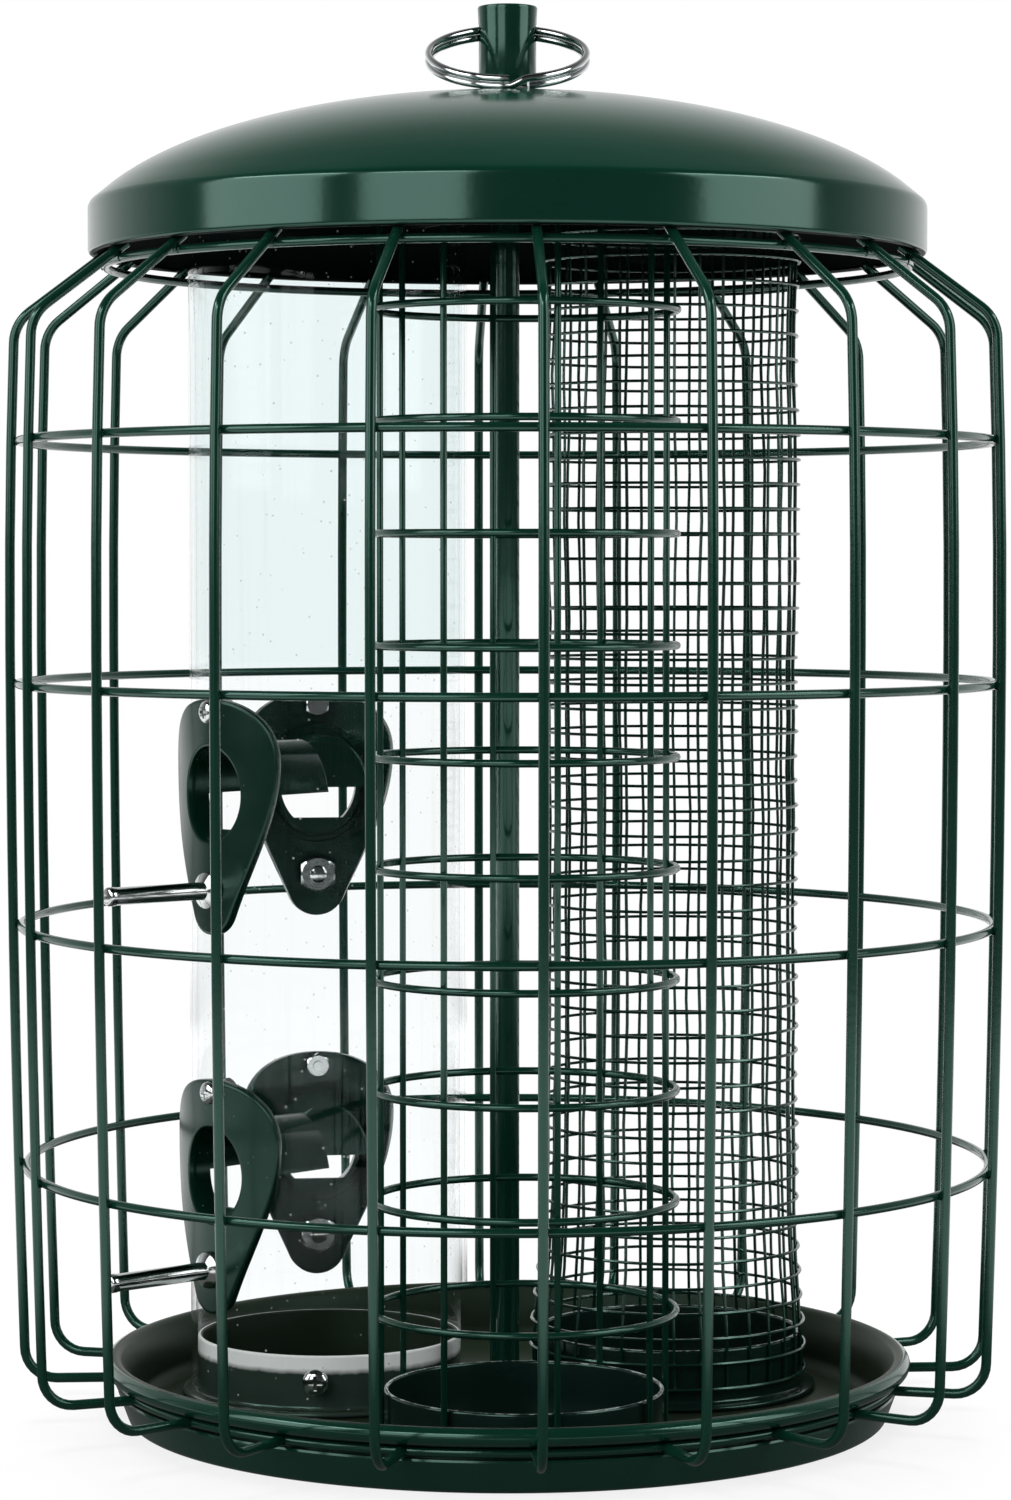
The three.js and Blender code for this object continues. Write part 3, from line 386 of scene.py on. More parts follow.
def studio_paper(add, place, white):
    """White paper that lights the scene little, and shows as a lit table and sheet in reflections."""
    grey = (0.25, 0.25, 0.25, 1.0)
    path = add("LightPath", {}).outputs
    # Only the eye sees the paper white, so that it casts little light up on the feeder.
    albedo = add("Mix", {0: path["Is Camera Ray"], 6: grey, 7: white}, data_type="RGBA")
    paper = add("BsdfDiffuse", {"Color": albedo})
    # In reflections a lit ring of table lies round the feeder, and the white sheet lies behind it.
    behind = add("SeparateXYZ", {"Vector": place}).outputs["Y"]
    distance = add("VectorMath", {0: place}, operation="LENGTH")
    rise = {"From Min": 0.4, "From Max": 1.2, "To Min": 0.12, "To Max": 1.1}
    sheet = add("MapRange", {"Value": behind, **rise})
    rise = {"From Min": 0.2, "From Max": 0.3, "To Max": 1.2}
    ring = add("MapRange", {"Value": distance, **rise})
    fall = {"From Min": 0.85, "From Max": 1.1, "To Min": 1.0, "To Max": 0.0}
    ring_end = add("MapRange", {"Value": distance, **fall})
    table = add("Math", {0: ring, 1: ring_end}, operation="MULTIPLY")
    reflected = add("Math", {0: sheet, 1: table}, operation="MAXIMUM")
    brightness = add("Mix", {0: path["Is Glossy Ray"], 2: 1.0, 3: reflected}, data_type="FLOAT")
    glow = add("Emission", {"Color": white, "Strength": brightness})
    # Near the feeder the paper keeps a little of its own light, which shows the shadow.
    fade = add("MapRange", {"Value": distance, "From Min": 0.11, "From Max": 0.22, "To Min": 0.78})
    indirect = {0: path["Is Glossy Ray"], 1: path["Is Transmission Ray"]}
    through = add("Math", indirect, operation="ADD", use_clamp=True)
    seen = add("Math", {0: path["Is Camera Ray"], 1: fade}, operation="MULTIPLY")
    share = add("Math", {0: seen, 1: through}, operation="ADD", use_clamp=True)
    return add("MixShader", {0: share, 1: paper, 2: glow})


def material_named(name):
    """One of the feeder's finishes, made the first time that it is asked for."""
    if name in bpy.data.materials:
        return bpy.data.materials[name]
    hue = bpy.context.scene.feeder_colours
    green = (hue.green, hue.deep_green, 0.1, 0.2, 0.02 * MM)
    collar_gloss = (0.12, 0.2, 0.03 * MM)
    collar = (hue.collar_green, hue.collar_brown, *collar_gloss)
    # Painted light: the seed collar's coat is lightened and greyed for the light on it and the tube's haze.
    lit_collar = (hue.hazy_green, hue.collar_brown, *collar_gloss)
    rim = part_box("seed_collar")[1].z
    worn = (rim - 0.1 * MM, 0.15 * MM, hue.worn_rim, None)
    centre = Vector((*SEED_CENTRE.xy, middle("seed_collar").z))
    # Painted highlight: from 4.8 mm under the seed collar's rim up, its outside faces turn near-white.
    band = (rim - 4.8 * MM, 1.5 * MM, hue.bare_band, centre)
    below_roof = middle("roof") - Vector((0, 0, 120 * MM))
    above_tray = middle("tray") + Vector((0, 0, 30 * MM))
    tint_step = 187 * MM
    finishes = {
        "powder_coat_green": (powder_coat, *green),
        "powder_coat_mesh": (powder_coat, hue.deep_green, hue.collar_green, 0.15, 0.25, 0.02 * MM),
        # Painted shade: the roof's underside and the insides of the dish and the seed collar get a dark, dull
        # skin.
        "powder_coat_roof": (powder_coat, *green, (below_roof, hue.roof_lining, 1.15)),
        "powder_coat_dish": (powder_coat, *green, (above_tray, hue.dish_lining, 1.3)),
        "powder_coat_collar": (powder_coat, *collar, None, worn),
        "powder_coat_seed_collar": (powder_coat, *lit_collar, (centre, hue.dish_lining, 1.3), band),
        "moulded_abs_green": (moulded_abs, hue.moulded_green, hue.seed_dust),
        "clear_pvc": (clear_plastic, hue.tube, hue.upper_tube, tint_step),
        "bright_plated_steel": (plated_steel, hue.chrome, 0.06, 0.16, 6 * MM),
        "zinc_plated_steel": (plated_steel, hue.zinc, 0.08, 0.22, 2 * MM),
        "black_rubber": (moulded_rubber, hue.rubber),
        "studio_paper": (studio_paper, hue.floor),
    }
    make, *settings = finishes[name]
    material = bpy.data.materials.new(name)
    material.use_nodes = True
    material.node_tree.nodes.clear()
    add = functools.partial(add_node, material.node_tree)
    shader = make(add, add("TexCoord", {}).outputs["Object"], *settings)
    add("OutputMaterial", {"Surface": shader})
    return material


# Modelling


def deselect_all():
    if bpy.context.mode != "OBJECT":
        bpy.ops.object.mode_set(mode="OBJECT")
    bpy.ops.object.select_all(action="DESELECT")


def make_active(piece):
    deselect_all()
    piece.select_set(True)
    bpy.context.view_layer.objects.active = piece


def added(operator, **settings):
    """The object that an operator adds, with its place and turn moved into its mesh."""
    deselect_all()
    operator(**settings)
    bpy.ops.object.transform_apply(location=True, rotation=True)
    return bpy.context.object


def start_ring(radius, height, segments, fill="NOTHING"):
    """Adds a circle about Z and leaves it selected in edit mode."""
    piece = added(bpy.ops.mesh.primitive_circle_add, vertices=segments, radius=radius, fill_type=fill)
    bpy.ops.object.mode_set(mode="EDIT")
    bpy.ops.mesh.select_all(action="SELECT")
    bpy.ops.transform.translate(value=(0, 0, height))
    return piece


def close_shell():
    """Merges doubles, points the faces out and leaves edit mode."""
    bpy.ops.mesh.select_all(action="SELECT")
    bpy.ops.mesh.remove_doubles(threshold=MERGE_DISTANCE)
    bpy.ops.mesh.normals_make_consistent(inside=False)
    bpy.ops.object.mode_set(mode="OBJECT")


def turned(outline, segments, closed=True):
    """A wall turned about Z: a ring is extruded and resized along an outline of (radius, height).

    A closed outline ends where it starts; an open one gets a cap at each end.
    """
    radius, height = outline[0]
    piece = start_ring(radius, height, segments, "NOTHING" if closed else "NGON")
    rings = outline[1:] + outline[:1] if closed else outline[1:]
    for next_radius, next_height in rings:
        bpy.ops.mesh.extrude_edges_move(TRANSFORM_OT_translate={"value": (0, 0, next_height - height)})
        share = next_radius / radius
        bpy.ops.transform.resize(value=(share, share, 1), center_override=(0, 0, 0))
        radius, height = next_radius, next_height
    if not closed:
        bpy.ops.mesh.edge_face_add()
    close_shell()
    return piece


def lofted(loops, closed=True):
    """A skin through loops of equally many points: a ring is extruded from loop to loop."""
    piece = start_ring(1, 0, len(loops[0]), "NOTHING" if closed else "NGON")
    mesh = bmesh.from_edit_mesh(piece.data)
    order = mesh.verts.layers.int.new("order")
    for place, vertex in enumerate(mesh.verts):
        vertex[order] = place
        vertex.co = loops[0][place]
    bmesh.update_edit_mesh(piece.data)
    for loop in loops[1:] + loops[:1] if closed else loops[1:]:
        bpy.ops.mesh.extrude_edges_move()
        mesh = bmesh.from_edit_mesh(piece.data)
        order = mesh.verts.layers.int["order"]
        for vertex in mesh.verts:
            if vertex.select:
                vertex.co = loop[vertex[order]]
        bmesh.update_edit_mesh(piece.data)
    if not closed:
        bpy.ops.mesh.edge_face_add()
    close_shell()
    piece.data.attributes.remove(piece.data.attributes["order"])
    return piece


def transform(piece, matrix):
    """Moves a piece's mesh, and leaves its object at the origin."""
    piece.data.transform(matrix)
    piece.data.update()
    return piece


def turn(piece, angle, axis="Z"):
    return transform(piece, Matrix.Rotation(angle, 4, axis))


def shift(piece, offset):
    return transform(piece, Matrix.Translation(Vector(offset)))


def stretch(piece, x, y, z):
    return transform(piece, Matrix.Diagonal((x, y, z, 1)))


def block(x, y, z, place):
    """A block of these sides about a place."""
    return shift(stretch(added(bpy.ops.mesh.primitive_cube_add, size=1), x, y, z), place)


def rod(radius, length, place, segments):
    """A round bar along X about a place."""
    return added(
        bpy.ops.mesh.primitive_cylinder_add,
        vertices=segments,
        radius=radius,
        depth=length,
        location=place,
        rotation=(0, pi / 2, 0),
    )


def wire_ring(radius, wire, height, segments, sides):
    return added(
        bpy.ops.mesh.primitive_torus_add,
        major_segments=segments,
        minor_segments=sides,
        major_radius=radius,
        minor_radius=wire,
        location=(0, 0, height),
    )


def copy_of(piece):
    make_active(piece)
    bpy.ops.object.duplicate(linked=False)
    return bpy.context.object


def join(pieces):
    """Joins pieces into the first."""
    deselect_all()
    for piece in pieces:
        piece.select_set(True)
    bpy.context.view_layer.objects.active = pieces[0]
    bpy.ops.object.join()
    return bpy.context.object


def apply_modifier(piece, kind, **settings):
    make_active(piece)
    modifier = piece.modifiers.new("shape", kind)
    for key, value in settings.items():
        setattr(modifier, key, value)
    bpy.ops.object.modifier_apply(modifier=modifier.name)
    return piece


def cut(piece, tools):
    """Cuts the tools out of a piece and removes them."""
    for tool in tools:
        apply_modifier(piece, "BOOLEAN", operation="DIFFERENCE", solver="EXACT", object=tool)
        bpy.data.objects.remove(tool)
    return piece


def finish(piece, node, material):
    """Shades a piece, gives it its finish and lets it stand for its CAD node."""
    make_active(piece)
    bpy.ops.object.shade_smooth_by_angle(angle=SMOOTH_ANGLE)
    piece.name = node + "_finished"
    piece.data.name = piece.name
    piece.data.materials.clear()
    piece.data.materials.append(material_named(material))
    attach(piece, BODY_OF[node])
    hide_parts(node)
    return piece


def arc(centre, radius, start, end, steps):
    """Points of a round stretch of an outline; angles in degrees."""
    points = []
    for i in range(steps + 1):
        angle = radians(start + (end - start) * i / steps)
        points.append((centre[0] + radius * cos(angle), centre[1] + radius * sin(angle)))
    return points


def hexagon_nut(low, high, across_flats, bore):
    """A hexagon nut on Z with chamfered corners and an open bore."""
    corner = across_flats / sqrt(3)
    chamfer = 0.09 * across_flats
    face = across_flats / 2 - chamfer / 3
    outline = [
        (bore, low),
        (face, low),
        (corner, low + chamfer),
        (corner, high - chamfer),
        (face, high),
        (bore, high),
    ]
    nut = turned(outline, 48)
    for i in range(6):
        flat = block(across_flats, 2 * across_flats, 2 * across_flats, (across_flats, 0, (low + high) / 2))
        cut(nut, [turn(flat, radians(30 + 60 * i))])
    return nut


# Operators: one for each piece or group of like pieces


class Builder:
    """Runs an operator's build with the scene, which holds the sizes."""

    def execute(self, context):
        self.build(context.scene)
        return {"FINISHED"}


class FEEDER_OT_tray(Builder, bpy.types.Operator):
    """Turns the dish tray with its rolled lip, groove and post boss"""

    bl_idname = "feeder.tray"
    bl_label = "Tray"

    def build(self, scene):
        size = scene.feeder_tray
        bore = scene.feeder_roof.bore
        reach, _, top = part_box("tray")[1]
        bead = (reach - size.bead_radius, top - size.bead_radius)
        lip_bottom = bead[1] - size.bead_radius
        corner = 1.6 * MM
        under = size.boss_height - size.sheet
        boss_foot = size.boss_radius + size.boss_draft
        boss_side = size.boss_radius + size.sheet
        dish_corner = (size.wall_radius - size.floor_corner, size.sheet + size.floor_corner)
        outline = [
            (bore, under),
            (size.boss_radius - corner, under),
            *arc((size.boss_radius - corner, under - corner), corner, 80, 20, 4),
            (boss_foot, 0),
            (size.base_radius - corner, 0),
            *arc((size.base_radius - corner, corner), corner, -80, -15, 5),
            (size.band_radius - 0.2 * MM, size.band_height - 0.5 * MM),
            (size.band_radius - 0.4 * MM, size.band_height),
            (size.groove_radius, size.band_height),
            (size.groove_radius, lip_bottom),
            *arc(bead, size.bead_radius, -90, 170, 16),
            (size.wall_radius, lip_bottom),
            *arc(dish_corner, size.floor_corner, 0, -90, 8),
            (boss_foot + size.sheet, size.sheet),
            (boss_side + 0.3 * MM, size.boss_height - corner),
            *arc((boss_side - corner, size.boss_height - corner), corner, 20, 90, 4),
            (bore, size.boss_height),
        ]
        finish(turned(outline, 192), "tray", "powder_coat_dish")


def repeated_round(piece, count, first=0):
    """Copies of a piece at even turns about Z, in place of the piece."""
    copies = [turn(copy_of(piece), first + i * tau / count) for i in range(count)]
    bpy.data.objects.remove(piece)
    return copies


class FEEDER_OT_cage_bars(Builder, bpy.types.Operator):
    """Bends one cage bar from round wire and copies it round the cage"""

    bl_idname = "feeder.cage_bars"
    bl_label = "Cage bars"

    def build(self, scene):
        size = scene.feeder_cage
        foot_height = middle("cage_base_hoop").z
        foot_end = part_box("cage_base_hoop")[1].x + 0.1 * MM
        belly = max(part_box(node)[1].x for node in BARS) - size.bar_radius
        foot_x = belly - size.foot_draw_in
        shoulder_x = belly - size.shoulder_draw_in
        bar = added(
            bpy.ops.mesh.primitive_circle_add,
            vertices=12,
            radius=size.bar_radius,
            fill_type="NGON",
            location=(foot_end, 0, foot_height),
            rotation=(0, pi / 2, 0),
        )
        bpy.ops.object.mode_set(mode="EDIT")
        bpy.ops.mesh.select_all(action="SELECT")
        self.extrude(foot_x - size.foot_bend - foot_end, 0)
        centre = Vector((foot_x - size.foot_bend, 0, foot_height + size.foot_bend))
        bpy.ops.mesh.spin(steps=8, angle=pi / 2, center=centre, axis=(0, 1, 0))
        x, height = foot_x, centre.z
        belly_steps = 10
        for i in range(belly_steps):
            next_height = centre.z + (size.shoulder_height - centre.z) * (i + 1) / belly_steps
            next_x = self.bar_x(size, belly, centre.z, next_height)
            self.extrude(next_x - x, next_height - height)
            x, height = next_x, next_height
        slope = radians(37)
        bend = Vector((shoulder_x - size.shoulder_bend, 0, size.shoulder_height))
        bpy.ops.mesh.spin(steps=7, angle=pi / 2 - slope, center=bend, axis=(0, 1, 0))
        self.extrude(-size.slope_length * cos(slope), size.slope_length * sin(slope))
        close_shell()

        turn(bar, bearing(middle("cage_bar_01")))
        for i, copy in enumerate(repeated_round(bar, len(BARS))):
            finish(copy, f"cage_bar_{i + 1:02d}", "powder_coat_green")

    @staticmethod
    def extrude(x, z):
        bpy.ops.mesh.extrude_region_move(TRANSFORM_OT_translate={"value": (x, 0, z)})

    @staticmethod
    def bar_x(size, belly, foot_top, height):
        rise = height - size.belly_height
        if rise < 0:
            return belly - size.foot_draw_in * (rise / (size.belly_height - foot_top)) ** 2
        return belly - size.shoulder_draw_in * (rise / (size.shoulder_height - size.belly_height)) ** 2


class FEEDER_OT_cage_hoops(Builder, bpy.types.Operator):
    """Rolls the six hoops and puts a weld where each crosses a bar"""

    bl_idname = "feeder.cage_hoops"
    bl_label = "Cage hoops"

    def build(self, scene):
        size = scene.feeder_cage
        first = bearing(middle("cage_bar_01"))
        for node in sorted(frame["nodes"]):
            if not (node.startswith("cage_") and "hoop" in node):
                continue
            radius = half_width(node) - size.hoop_radius
            height = middle(node).z
            hoop = wire_ring(radius + 0.3 * MM, size.hoop_radius, height, 160, 12)
            # A weld is the paint-filled fillet round the crossing of two wires.
            weld = added(bpy.ops.mesh.primitive_uv_sphere_add, segments=10, ring_count=6, radius=1)
            stretch(weld, 0.7 * size.weld_size, 1.35 * size.weld_size, 1.35 * size.weld_size)
            shift(weld, (radius + size.hoop_radius, 0, height))
            welds = repeated_round(weld, len(BARS), first)
            finish(join([hoop, *welds]), node, "powder_coat_green")


class FEEDER_OT_roof(Builder, bpy.types.Operator):
    """Turns the domed roof with its skirt and rolled hem"""

    bl_idname = "feeder.roof"
    bl_label = "Roof"

    def build(self, scene):
        size = scene.feeder_roof
        low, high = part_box("roof")
        radius = high.x
        hem_top = low.z + size.hem
        skirt_top = low.z + size.skirt
        ellipse_centre = high.z - size.dome_height
        # Rings this close to the hem and the shoulder keep the skirt between them flat in the light.
        margin = 0.4 * MM

        def dome(at, drop):
            share = at / (size.dome_radius - drop)
            return (at, ellipse_centre + (size.dome_height - drop) * sqrt(1 - share**2))

        steps = 40
        edge = radius - size.shoulder * (1 - cos(radians(45)))
        inside = edge - size.sheet
        outer = [edge + (size.bore - edge) * (i + 1) / steps for i in range(steps)]
        inner = [inside + (size.bore - inside) * i / steps for i in range(steps)]
        outline = [
            *arc((radius - size.hem, hem_top), size.hem, -150, 0, 10),
            (radius, hem_top + margin),
            (radius, skirt_top - margin),
            *arc((radius - size.shoulder, skirt_top), size.shoulder, 0, 45, 8),
            *[dome(at, 0) for at in outer],
            *[dome(at, size.sheet) for at in [size.bore, *reversed(inner)]],
            (radius - size.sheet, skirt_top),
            (radius - size.sheet, hem_top),
        ]
        finish(turned(outline, 256), "roof", "powder_coat_roof")


class FEEDER_OT_hanger(Builder, bpy.types.Operator):
    """Turns the hanger sleeve, drills its cross hole and seats its rubber washer"""

    bl_idname = "feeder.hanger"
    bl_label = "Hanger sleeve"

    def build(self, scene):
        low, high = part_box("hanger_sleeve")
        radius = high.x
        thread_bore = 4.2 * MM
        thread_top = low.z + 6 * MM
        mouth = radius - 2.1 * MM
        waist = radius - 0.3 * MM
        chamfer = 0.5 * MM
        outline = [
            (thread_bore, low.z),
            (waist - chamfer, low.z),
            (waist - 0.15 * MM, low.z + 0.15 * MM),
            (waist, low.z + chamfer),
            (waist, CROSS_HOLE.z),
            (radius - 0.05 * MM, high.z - 2 * chamfer),
            (radius, high.z - chamfer),
            (radius - 0.2 * MM, high.z - 0.1 * MM),
            (radius - chamfer, high.z),
            (mouth + 0.2 * MM, high.z),
            (mouth, high.z - 0.3 * MM),
            (mouth, thread_top),
            (thread_bore, thread_top),
        ]
        hole_radius = 2.3 * MM
        sleeve = cut(turned(outline, 64), [rod(hole_radius, 4 * radius, CROSS_HOLE, 32)])
        apply_modifier(
            sleeve,
            "BEVEL",
            width=0.18 * MM,
            segments=2,
            limit_method="ANGLE",
            angle_limit=radians(60),
        )
        finish(sleeve, "hanger_sleeve", "powder_coat_green")

        bore = scene.feeder_roof.bore
        low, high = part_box("roof_washer")
        edge = 0.35 * MM
        outline = [
            (bore, low.z),
            (high.x - edge, low.z),
            *arc((high.x - edge, low.z + edge), edge, -60, 0, 3),
            *arc((high.x - edge, high.z - edge), edge, 0, 90, 4),
            (bore, high.z),
        ]
        finish(turned(outline, 64), "roof_washer", "black_rubber")


class FEEDER_OT_split_ring(Builder, bpy.types.Operator):
    """Winds the split ring's two turns of wire through the sleeve's cross hole"""

    bl_idname = "feeder.split_ring"
    bl_label = "Hanging ring"

    def build(self, scene):
        wire = 0.93 * MM
        radius = 19.4 * MM
        bow = radius - sqrt(radius**2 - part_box("hanger_sleeve")[1].x ** 2)
        crossover = radians(7)
        seam = radians(-82)
        steps = 132
        start, end = crossover, 2 * tau - crossover
        deselect_all()
        bpy.ops.curve.primitive_nurbs_path_add()
        path = bpy.context.object
        curve = path.data
        curve.splines.clear()
        spline = curve.splines.new("POLY")
        spline.points.add(steps)
        for i, point in enumerate(spline.points):
            angle = start + (end - start) * i / steps
            share = min(max((angle - tau + crossover) / (2 * crossover), 0), 1)
            rise = (share * share * (3 - 2 * share) * 2 - 1) * wire * 1.02
            point.co = (radius * cos(angle + seam), radius * sin(angle + seam), rise, 1)
        curve.bevel_depth = wire
        curve.bevel_resolution = 3
        curve.use_fill_caps = True
        make_active(path)
        bpy.ops.object.convert(target="MESH")
        ring = shift(bpy.context.object, (0, -(radius - bow / 2), 0))
        shift(turn(ring, radians(25), "X"), CROSS_HOLE)
        finish(ring, "hanging_ring", "bright_plated_steel")


class FEEDER_OT_post(Builder, bpy.types.Operator):
    """Turns the centre post and its nuts and washer"""

    bl_idname = "feeder.post"
    bl_label = "Centre post"

    def build(self, scene):
        low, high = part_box("centre_post")
        radius = high.x
        edge = 0.6 * MM
        thread = 1.0 * MM
        thread_depth = 0.35 * MM
        thread_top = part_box("post_lock_nut")[1].z + 2 * MM
        height = low.z + edge
        outline = [(radius - edge, low.z), (radius, height)]
        while height + thread < thread_top:
            outline.append((radius - thread_depth, height + thread / 2))
            outline.append((radius, height + thread))
            height += thread
        outline += [(radius, high.z - edge), (radius - edge, high.z)]
        finish(turned(outline, 32, closed=False), "centre_post", "powder_coat_green")

        bore = radius + 0.05 * MM
        for node in ("post_nut", "post_lock_nut"):
            low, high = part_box(node)
            finish(hexagon_nut(low.z, high.z, high.y - low.y, bore), node, "zinc_plated_steel")
        low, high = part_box("post_washer")
        edge = 0.15 * MM
        outline = [
            (bore, low.z),
            (high.x - edge, low.z),
            (high.x, low.z + edge),
            (high.x, high.z - edge),
            (high.x - edge, high.z),
            (bore, high.z),
        ]
        finish(turned(outline, 64), "post_washer", "zinc_plated_steel")


class FEEDER_OT_collars(Builder, bpy.types.Operator):
    """Turns the three flanged collars on the tray's floor"""

    bl_idname = "feeder.collars"
    bl_label = "Collars"

    def build(self, scene):
        wall = scene.feeder_sizes.collar_wall
        edge = 0.4 * MM
        fillet = 1.0 * MM
        for node, material in (
            ("seed_collar", "powder_coat_seed_collar"),
            ("peanut_collar", "powder_coat_collar"),
            ("fat_ball_collar", "powder_coat_collar"),
        ):
            low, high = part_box(node)
            flange = half_width(node)
            radius = flange - 4 * MM
            outline = [
                (radius - wall, low.z),
                (flange - edge, low.z),
                *arc((flange - wall / 2, low.z + wall / 2), wall / 2, -70, 80, 6),
                *arc((radius + fillet, low.z + wall + fillet), fillet, -90, -180, 5),
                *arc((radius - wall / 2, high.z - wall / 2), wall / 2, 0, 180, 8),
            ]
            finish(shift(turned(outline, 128), (*middle(node).xy, 0)), node, material)


def port_places():
    """Number, bearing and hole height of each seed port."""
    size = bpy.context.scene.feeder_ports
    places = []
    for number in range(1, 5):
        angle = bearing(middle(f"perch_nut_{number}") - SEED_CENTRE)
        places.append((number, angle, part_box(f"seed_port_{number}")[0].z + size.hole_above_tip))
    return places


def finish_on_tube(piece, node, angle, height, material):
    """Finishes a piece, made at bearing and height nought, at its place on the seed tube."""
    turn(shift(piece, (0, 0, height)), angle)
    return finish(shift(piece, (*SEED_CENTRE.xy, 0)), node, material)


class FEEDER_OT_seed_tube(Builder, bpy.types.Operator):
    """Draws the clear seed tube and cuts the holes for its ports and screws"""

    bl_idname = "feeder.seed_tube"
    bl_label = "Seed tube"

    def build(self, scene):
        size = scene.feeder_ports
        low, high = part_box("seed_tube")
        bore = TUBE_RADIUS - scene.feeder_sizes.tube_wall
        edge = 0.1 * MM
        outline = [
            (bore, low.z + edge),
            (bore + edge, low.z),
            (TUBE_RADIUS - edge, low.z),
            (TUBE_RADIUS, low.z + edge),
            (TUBE_RADIUS, high.z - edge),
            (TUBE_RADIUS - edge, high.z),
            (bore + edge, high.z),
            (bore, high.z - edge),
        ]
        tube = turned(outline, 96)
        clearance = 0.3 * MM
        grow = size.spigot_wall + clearance
        for number, angle, height in port_places():
            hole = self.drill(1, 0, 0)
            stretch(hole, 1, size.hole_half_width + grow, size.hole_half_height + grow)
            turn(shift(hole, (0, 0, height)), angle)
            screw = self.drill(1.7 * MM, middle(f"port_screw_{number}").z, angle)
            perch = self.drill(size.perch_radius + clearance, middle(f"perch_{number}").z, angle)
            cut(tube, [hole, screw, perch])
        screw = middle("collar_screw")
        cut(tube, [self.drill(2.1 * MM, screw.z, bearing(screw - SEED_CENTRE))])
        finish(shift(tube, (*SEED_CENTRE.xy, 0)), "seed_tube", "clear_pvc")

    @staticmethod
    def drill(radius, height, angle):
        """A round cutting tool through the tube's wall."""
        inner, outer = TUBE_RADIUS - 8 * MM, TUBE_RADIUS + 4 * MM
        return turn(rod(radius, outer - inner, ((inner + outer) / 2, 0, height), 24), angle)


def cubic(a, b, c, d, steps):
    """Points of a cubic curve after its first."""
    points = []
    for i in range(1, steps + 1):
        t = i / steps
        points.append(a * (1 - t) ** 3 + 3 * b * t * (1 - t) ** 2 + 3 * c * t * t * (1 - t) + d * t**3)
    return points


def leaf_outline(size):
    """The shield's leaf, as (across, up) from the hole's centre: a broad crown and a round tip."""
    bottom = -size.hole_above_tip
    height = size.shield_height
    top = bottom + height
    half = size.shield_half_width
    widest = Vector((half, bottom + 0.74 * height))
    tip = Vector((0, bottom + size.tip_radius))
    lean = radians(25)
    side = tip + size.tip_radius * Vector((cos(lean), -sin(lean)))
    right = []
    for i in range(7):
        angle = radians(65) * i / 6
        right.append(tip + size.tip_radius * Vector((sin(angle), -cos(angle))))
    waist = Vector((0.62 * half, bottom + 0.3 * height))
    hip = Vector((half, bottom + 0.5 * height))
    shoulder = Vector((half, top - 0.1 * height))
    crown = Vector((0.6 * half, top))
    right += cubic(side, waist, hip, widest, 18)
    right += cubic(widest, shoulder, crown, Vector((0, top)), 14)
    return right + [Vector((-p.x, p.y)) for p in reversed(right[1:-1])]


def on_oval(size, grow, angle):
    """A point of the feed hole's oval, with its radii grown."""
    across = (size.hole_half_width + grow) * cos(angle)
    return Vector((across, (size.hole_half_height + grow) * sin(angle)))


def upright(points, depth):
    """Points of (across, up) on an upright plane at this depth."""
    return [Vector((depth, p.x, p.y)) for p in points]


